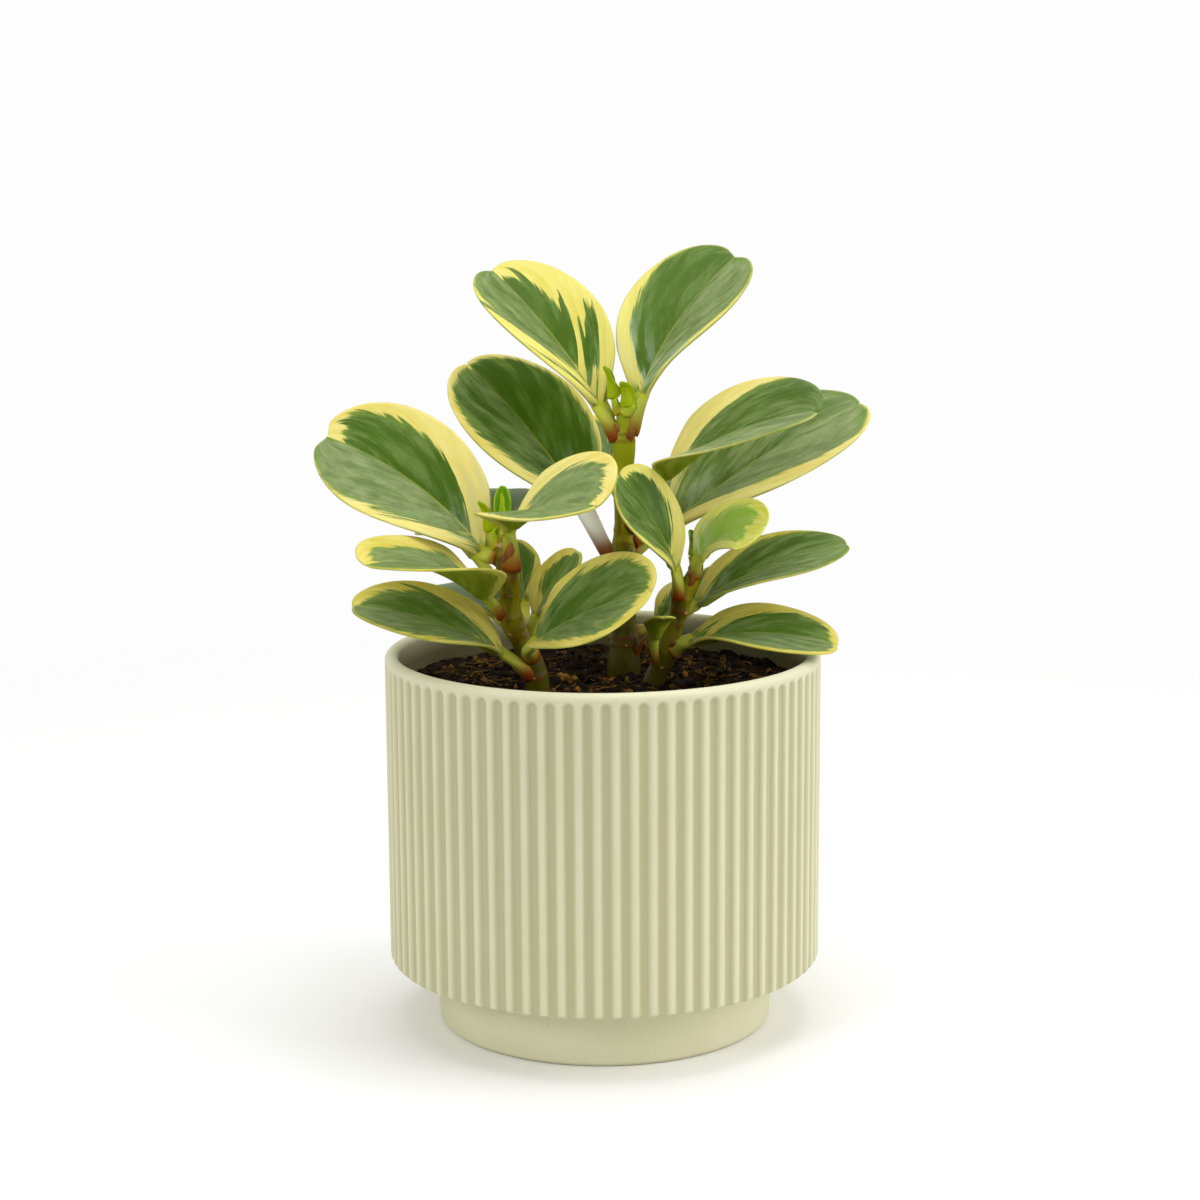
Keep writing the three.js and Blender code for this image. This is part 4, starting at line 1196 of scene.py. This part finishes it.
# %% Greens inside it
pale_reach = w.plus(cream_edge, w.ramp(streaks, 0.4, 0.66, 0.02, 0.2))
pale_zone = w.ramp(edge, w.plus(pale_reach, 0.07), w.sum("SUBTRACT", pale_reach, 0.07))
grey_wave = w.ramp(streaks, 0.3, 0.7, -0.28, 0.28)
grey_fine = w.ramp(fine, 0.3, 0.7, -0.14, 0.14)
grey_near_cream = w.ramp(edge, w.plus(cream_edge, 0.35), cream_edge, -0.06, 0.24)
grey_amount = w.plus(w.plus(grey_and_sheen_share, grey_wave), w.plus(grey_fine, grey_near_cream))
grey_zone = w.ramp(grey_amount, 0.0, 1.25)
dark_zone = w.times(w.ramp(streaks, 0.7, 0.36, 0.55, 1.0), given["Darkness"])
green = w.blend(dark_zone, given["Mid green"], given["Deep green"])
green = w.blend(grey_zone, green, GREY_GREEN)
green = w.blend(w.times(pale_zone, 0.75), green, given["Mid green"])
green = w.blend(w.ramp(mottle, 0.42, 0.7, 0.0, 0.4), green, given["Deep green"])

# %% Cream, midrib, rim, underside and stalk
cream_tone = w.blend(w.ramp(streaks, 0.35, 0.7), given["Cream"], given["Cream deep"])
upper = w.blend(cream, green, cream_tone)
midrib = w.times(w.ramp(w.sum("ABSOLUTE", offset), 0.5, 0.12), w.ramp(along, 0.1, 0.9, 0.6, 0.1))
upper = w.blend(midrib, upper, given["Stalk"])
# Painted sheen: a whitish reflection painted in streaks over the blade's lower half, as much as the leaf asks
# for.
sheen_zone = w.times(w.ramp(along, 0.6, 0.2), w.ramp(along, 0.06, 0.2))
sheen_patch = w.times(sheen_zone, w.ramp(streaks, 0.46, 0.62))
upper = w.blend(w.times(sheen_patch, given["Sheen and wax"]), upper, seen(206, 224, 214))
rim_line = w.times(w.ramp(to_rim, 0.5, 0.2), w.ramp(broad, 0.4, 0.6, 0.1, 0.6))
upper = w.blend(rim_line, upper, given["Mid green"])
lower = w.blend(w.times(cream, 0.9), given["Under green"], given["Under cream"])
lower = w.blend(w.ramp(tongues, 0.35, 0.7, 0.0, 0.25), lower, given["Under cream"])
blade = w.blend(under, upper, lower)
near_joint = w.ramp(along, 0.2, 0.02)
in_middle = w.ramp(w.sum("ABSOLUTE", offset), 4.5, 0.8)
base = w.sum("MAXIMUM", w.times(near_joint, in_middle), w.ramp(along, 0.03, 0.0))
stalk_tone = w.blend(w.ramp(across, -0.8, 0.9, 0.0, 0.35), given["Stalk"], given["Under green"])
blade = w.blend(base, blade, stalk_tone)
blush = w.sum("MULTIPLY_ADD", across, 0.07, along)
# Painted sheen on the stalk: a whitish highlight painted along most of its length.
stalk_sheen_mask = w.times(w.ramp(along, -0.75, -0.5), w.ramp(along, 0.02, -0.12))
blade = w.blend(w.times(stalk_sheen_mask, given["Stalk bloom"]), blade, seen(252, 251, 236))
whole = w.blend(w.ramp(blush, -0.26, -0.82), blade, given["Stalk foot"])
w.fill(result, {
    "Colour": whole,
    "Streaks": streaks,
    "Gloss": w.ramp(streaks, 0.3, 0.7, 0.36, 0.5),
    "Wax": w.sum("MULTIPLY_ADD", w.ramp(streaks, 0.42, 0.66), given["Sheen and wax"], 0.02),
})
print("variegation group:", len(variegation.nodes), "nodes")

# %% [markdown]
# Each leaf's material sets the group's values for that leaf. The skin is waxy: a fairly smooth shader with
# a thin coat, and a little light passes into the flesh. Fine relief along the veins breaks up the
# highlight.

# %% The leaves' materials
CREAMS = {
    PALE: (seen(237, 224, 136), seen(225, 208, 98)),
    YELLOW: (seen(231, 222, 122), seen(220, 207, 88)),
    OLIVE: (seen(226, 212, 108), seen(206, 192, 72)),
    FRESH: (seen(236, 234, 130), seen(220, 220, 76)),
    BUD: (seen(104, 150, 4), seen(84, 130, 2)),
}
USUAL_GREENS = seen(64, 96, 14), seen(104, 138, 44)
GREENS = {
    FRESH: (seen(136, 184, 52), seen(190, 212, 108)),
    BUD: (seen(170, 198, 2), seen(184, 208, 16)),
}
YOUNG_STALK = seen(184, 200, 12), seen(172, 156, 20)
USUAL_STALK = seen(192, 196, 44), seen(140, 58, 14)
YOUNG_UNDER = seen(166, 186, 8), seen(148, 170, 4)
USUAL_UNDER = seen(124, 144, 14), seen(218, 212, 100)
LEAVES_APART = 3.7


def leaf_material(name, own, number):
    material, w, shader = new_material(
        name, Roughness=0.42, Specular_IOR_Level=0.12, Coat_Roughness=0.3, Coat_IOR=1.3,
        Subsurface_Weight=0.1, Subsurface_Scale=0.0012, Subsurface_Radius=(0.7, 1.0, 0.25),
    )
    pale, rich = CREAMS[own["cream"]]
    deep, middling = GREENS.get(own["cream"], USUAL_GREENS)
    young = own["cream"] == BUD
    stalk, stalk_foot = YOUNG_STALK if young else USUAL_STALK
    under_green, under_cream = YOUNG_UNDER if young else USUAL_UNDER
    looks = use_group(w, variegation, {
        "Where": w.attribute("where", vector=True), "Measures": w.attribute("measures", vector=True),
        "Seed": LEAVES_APART * number + own["shift"],
        "Left margin": own["margins"][0], "Right margin": own["margins"][1],
        "Left at tip": own["at_tip"][0], "Right at tip": own["at_tip"][1],
        "Left grey": own["grey"][0], "Right grey": own["grey"][1], "Darkness": own["dark"],
        "Tongues": own["tongues"], "Sheen and wax": own["bloom"], "Stalk bloom": own["stalk_bloom"],
        "Cream": pale, "Cream deep": rich, "Deep green": deep, "Mid green": middling,
        "Under green": under_green, "Under cream": under_cream, "Stalk": stalk, "Stalk foot": stalk_foot,
    })
    grain, mottle = grained(w, 1500.0, 160.0)
    relief = w.sum("MULTIPLY_ADD", looks.outputs["Streaks"], 0.8, w.times(grain, 0.35))
    relief = w.sum("MULTIPLY_ADD", mottle, 0.8, relief)
    w.fill(shader.inputs, {
        "Base Color": looks.outputs["Colour"],
        "Roughness": looks.outputs["Gloss"],
        "Coat Weight": looks.outputs["Wax"],
        "Normal": w.bump(relief, 0.35, 0.00025),
    })
    return material


# %% All the leaves
number = 0
for stem, own_leaves in LEAVES.items():
    for name, own in own_leaves.items():
        mesh = leaf_mesh(f"{name}_leaf", own, STEMS[stem], number)
        material = leaf_material(f"{name}_leaf", own, number)
        add_piece(f"{name}_leaf", mesh, material, "leaf", f"leaf_{name}")
        number += 1
print(number, "leaves made")
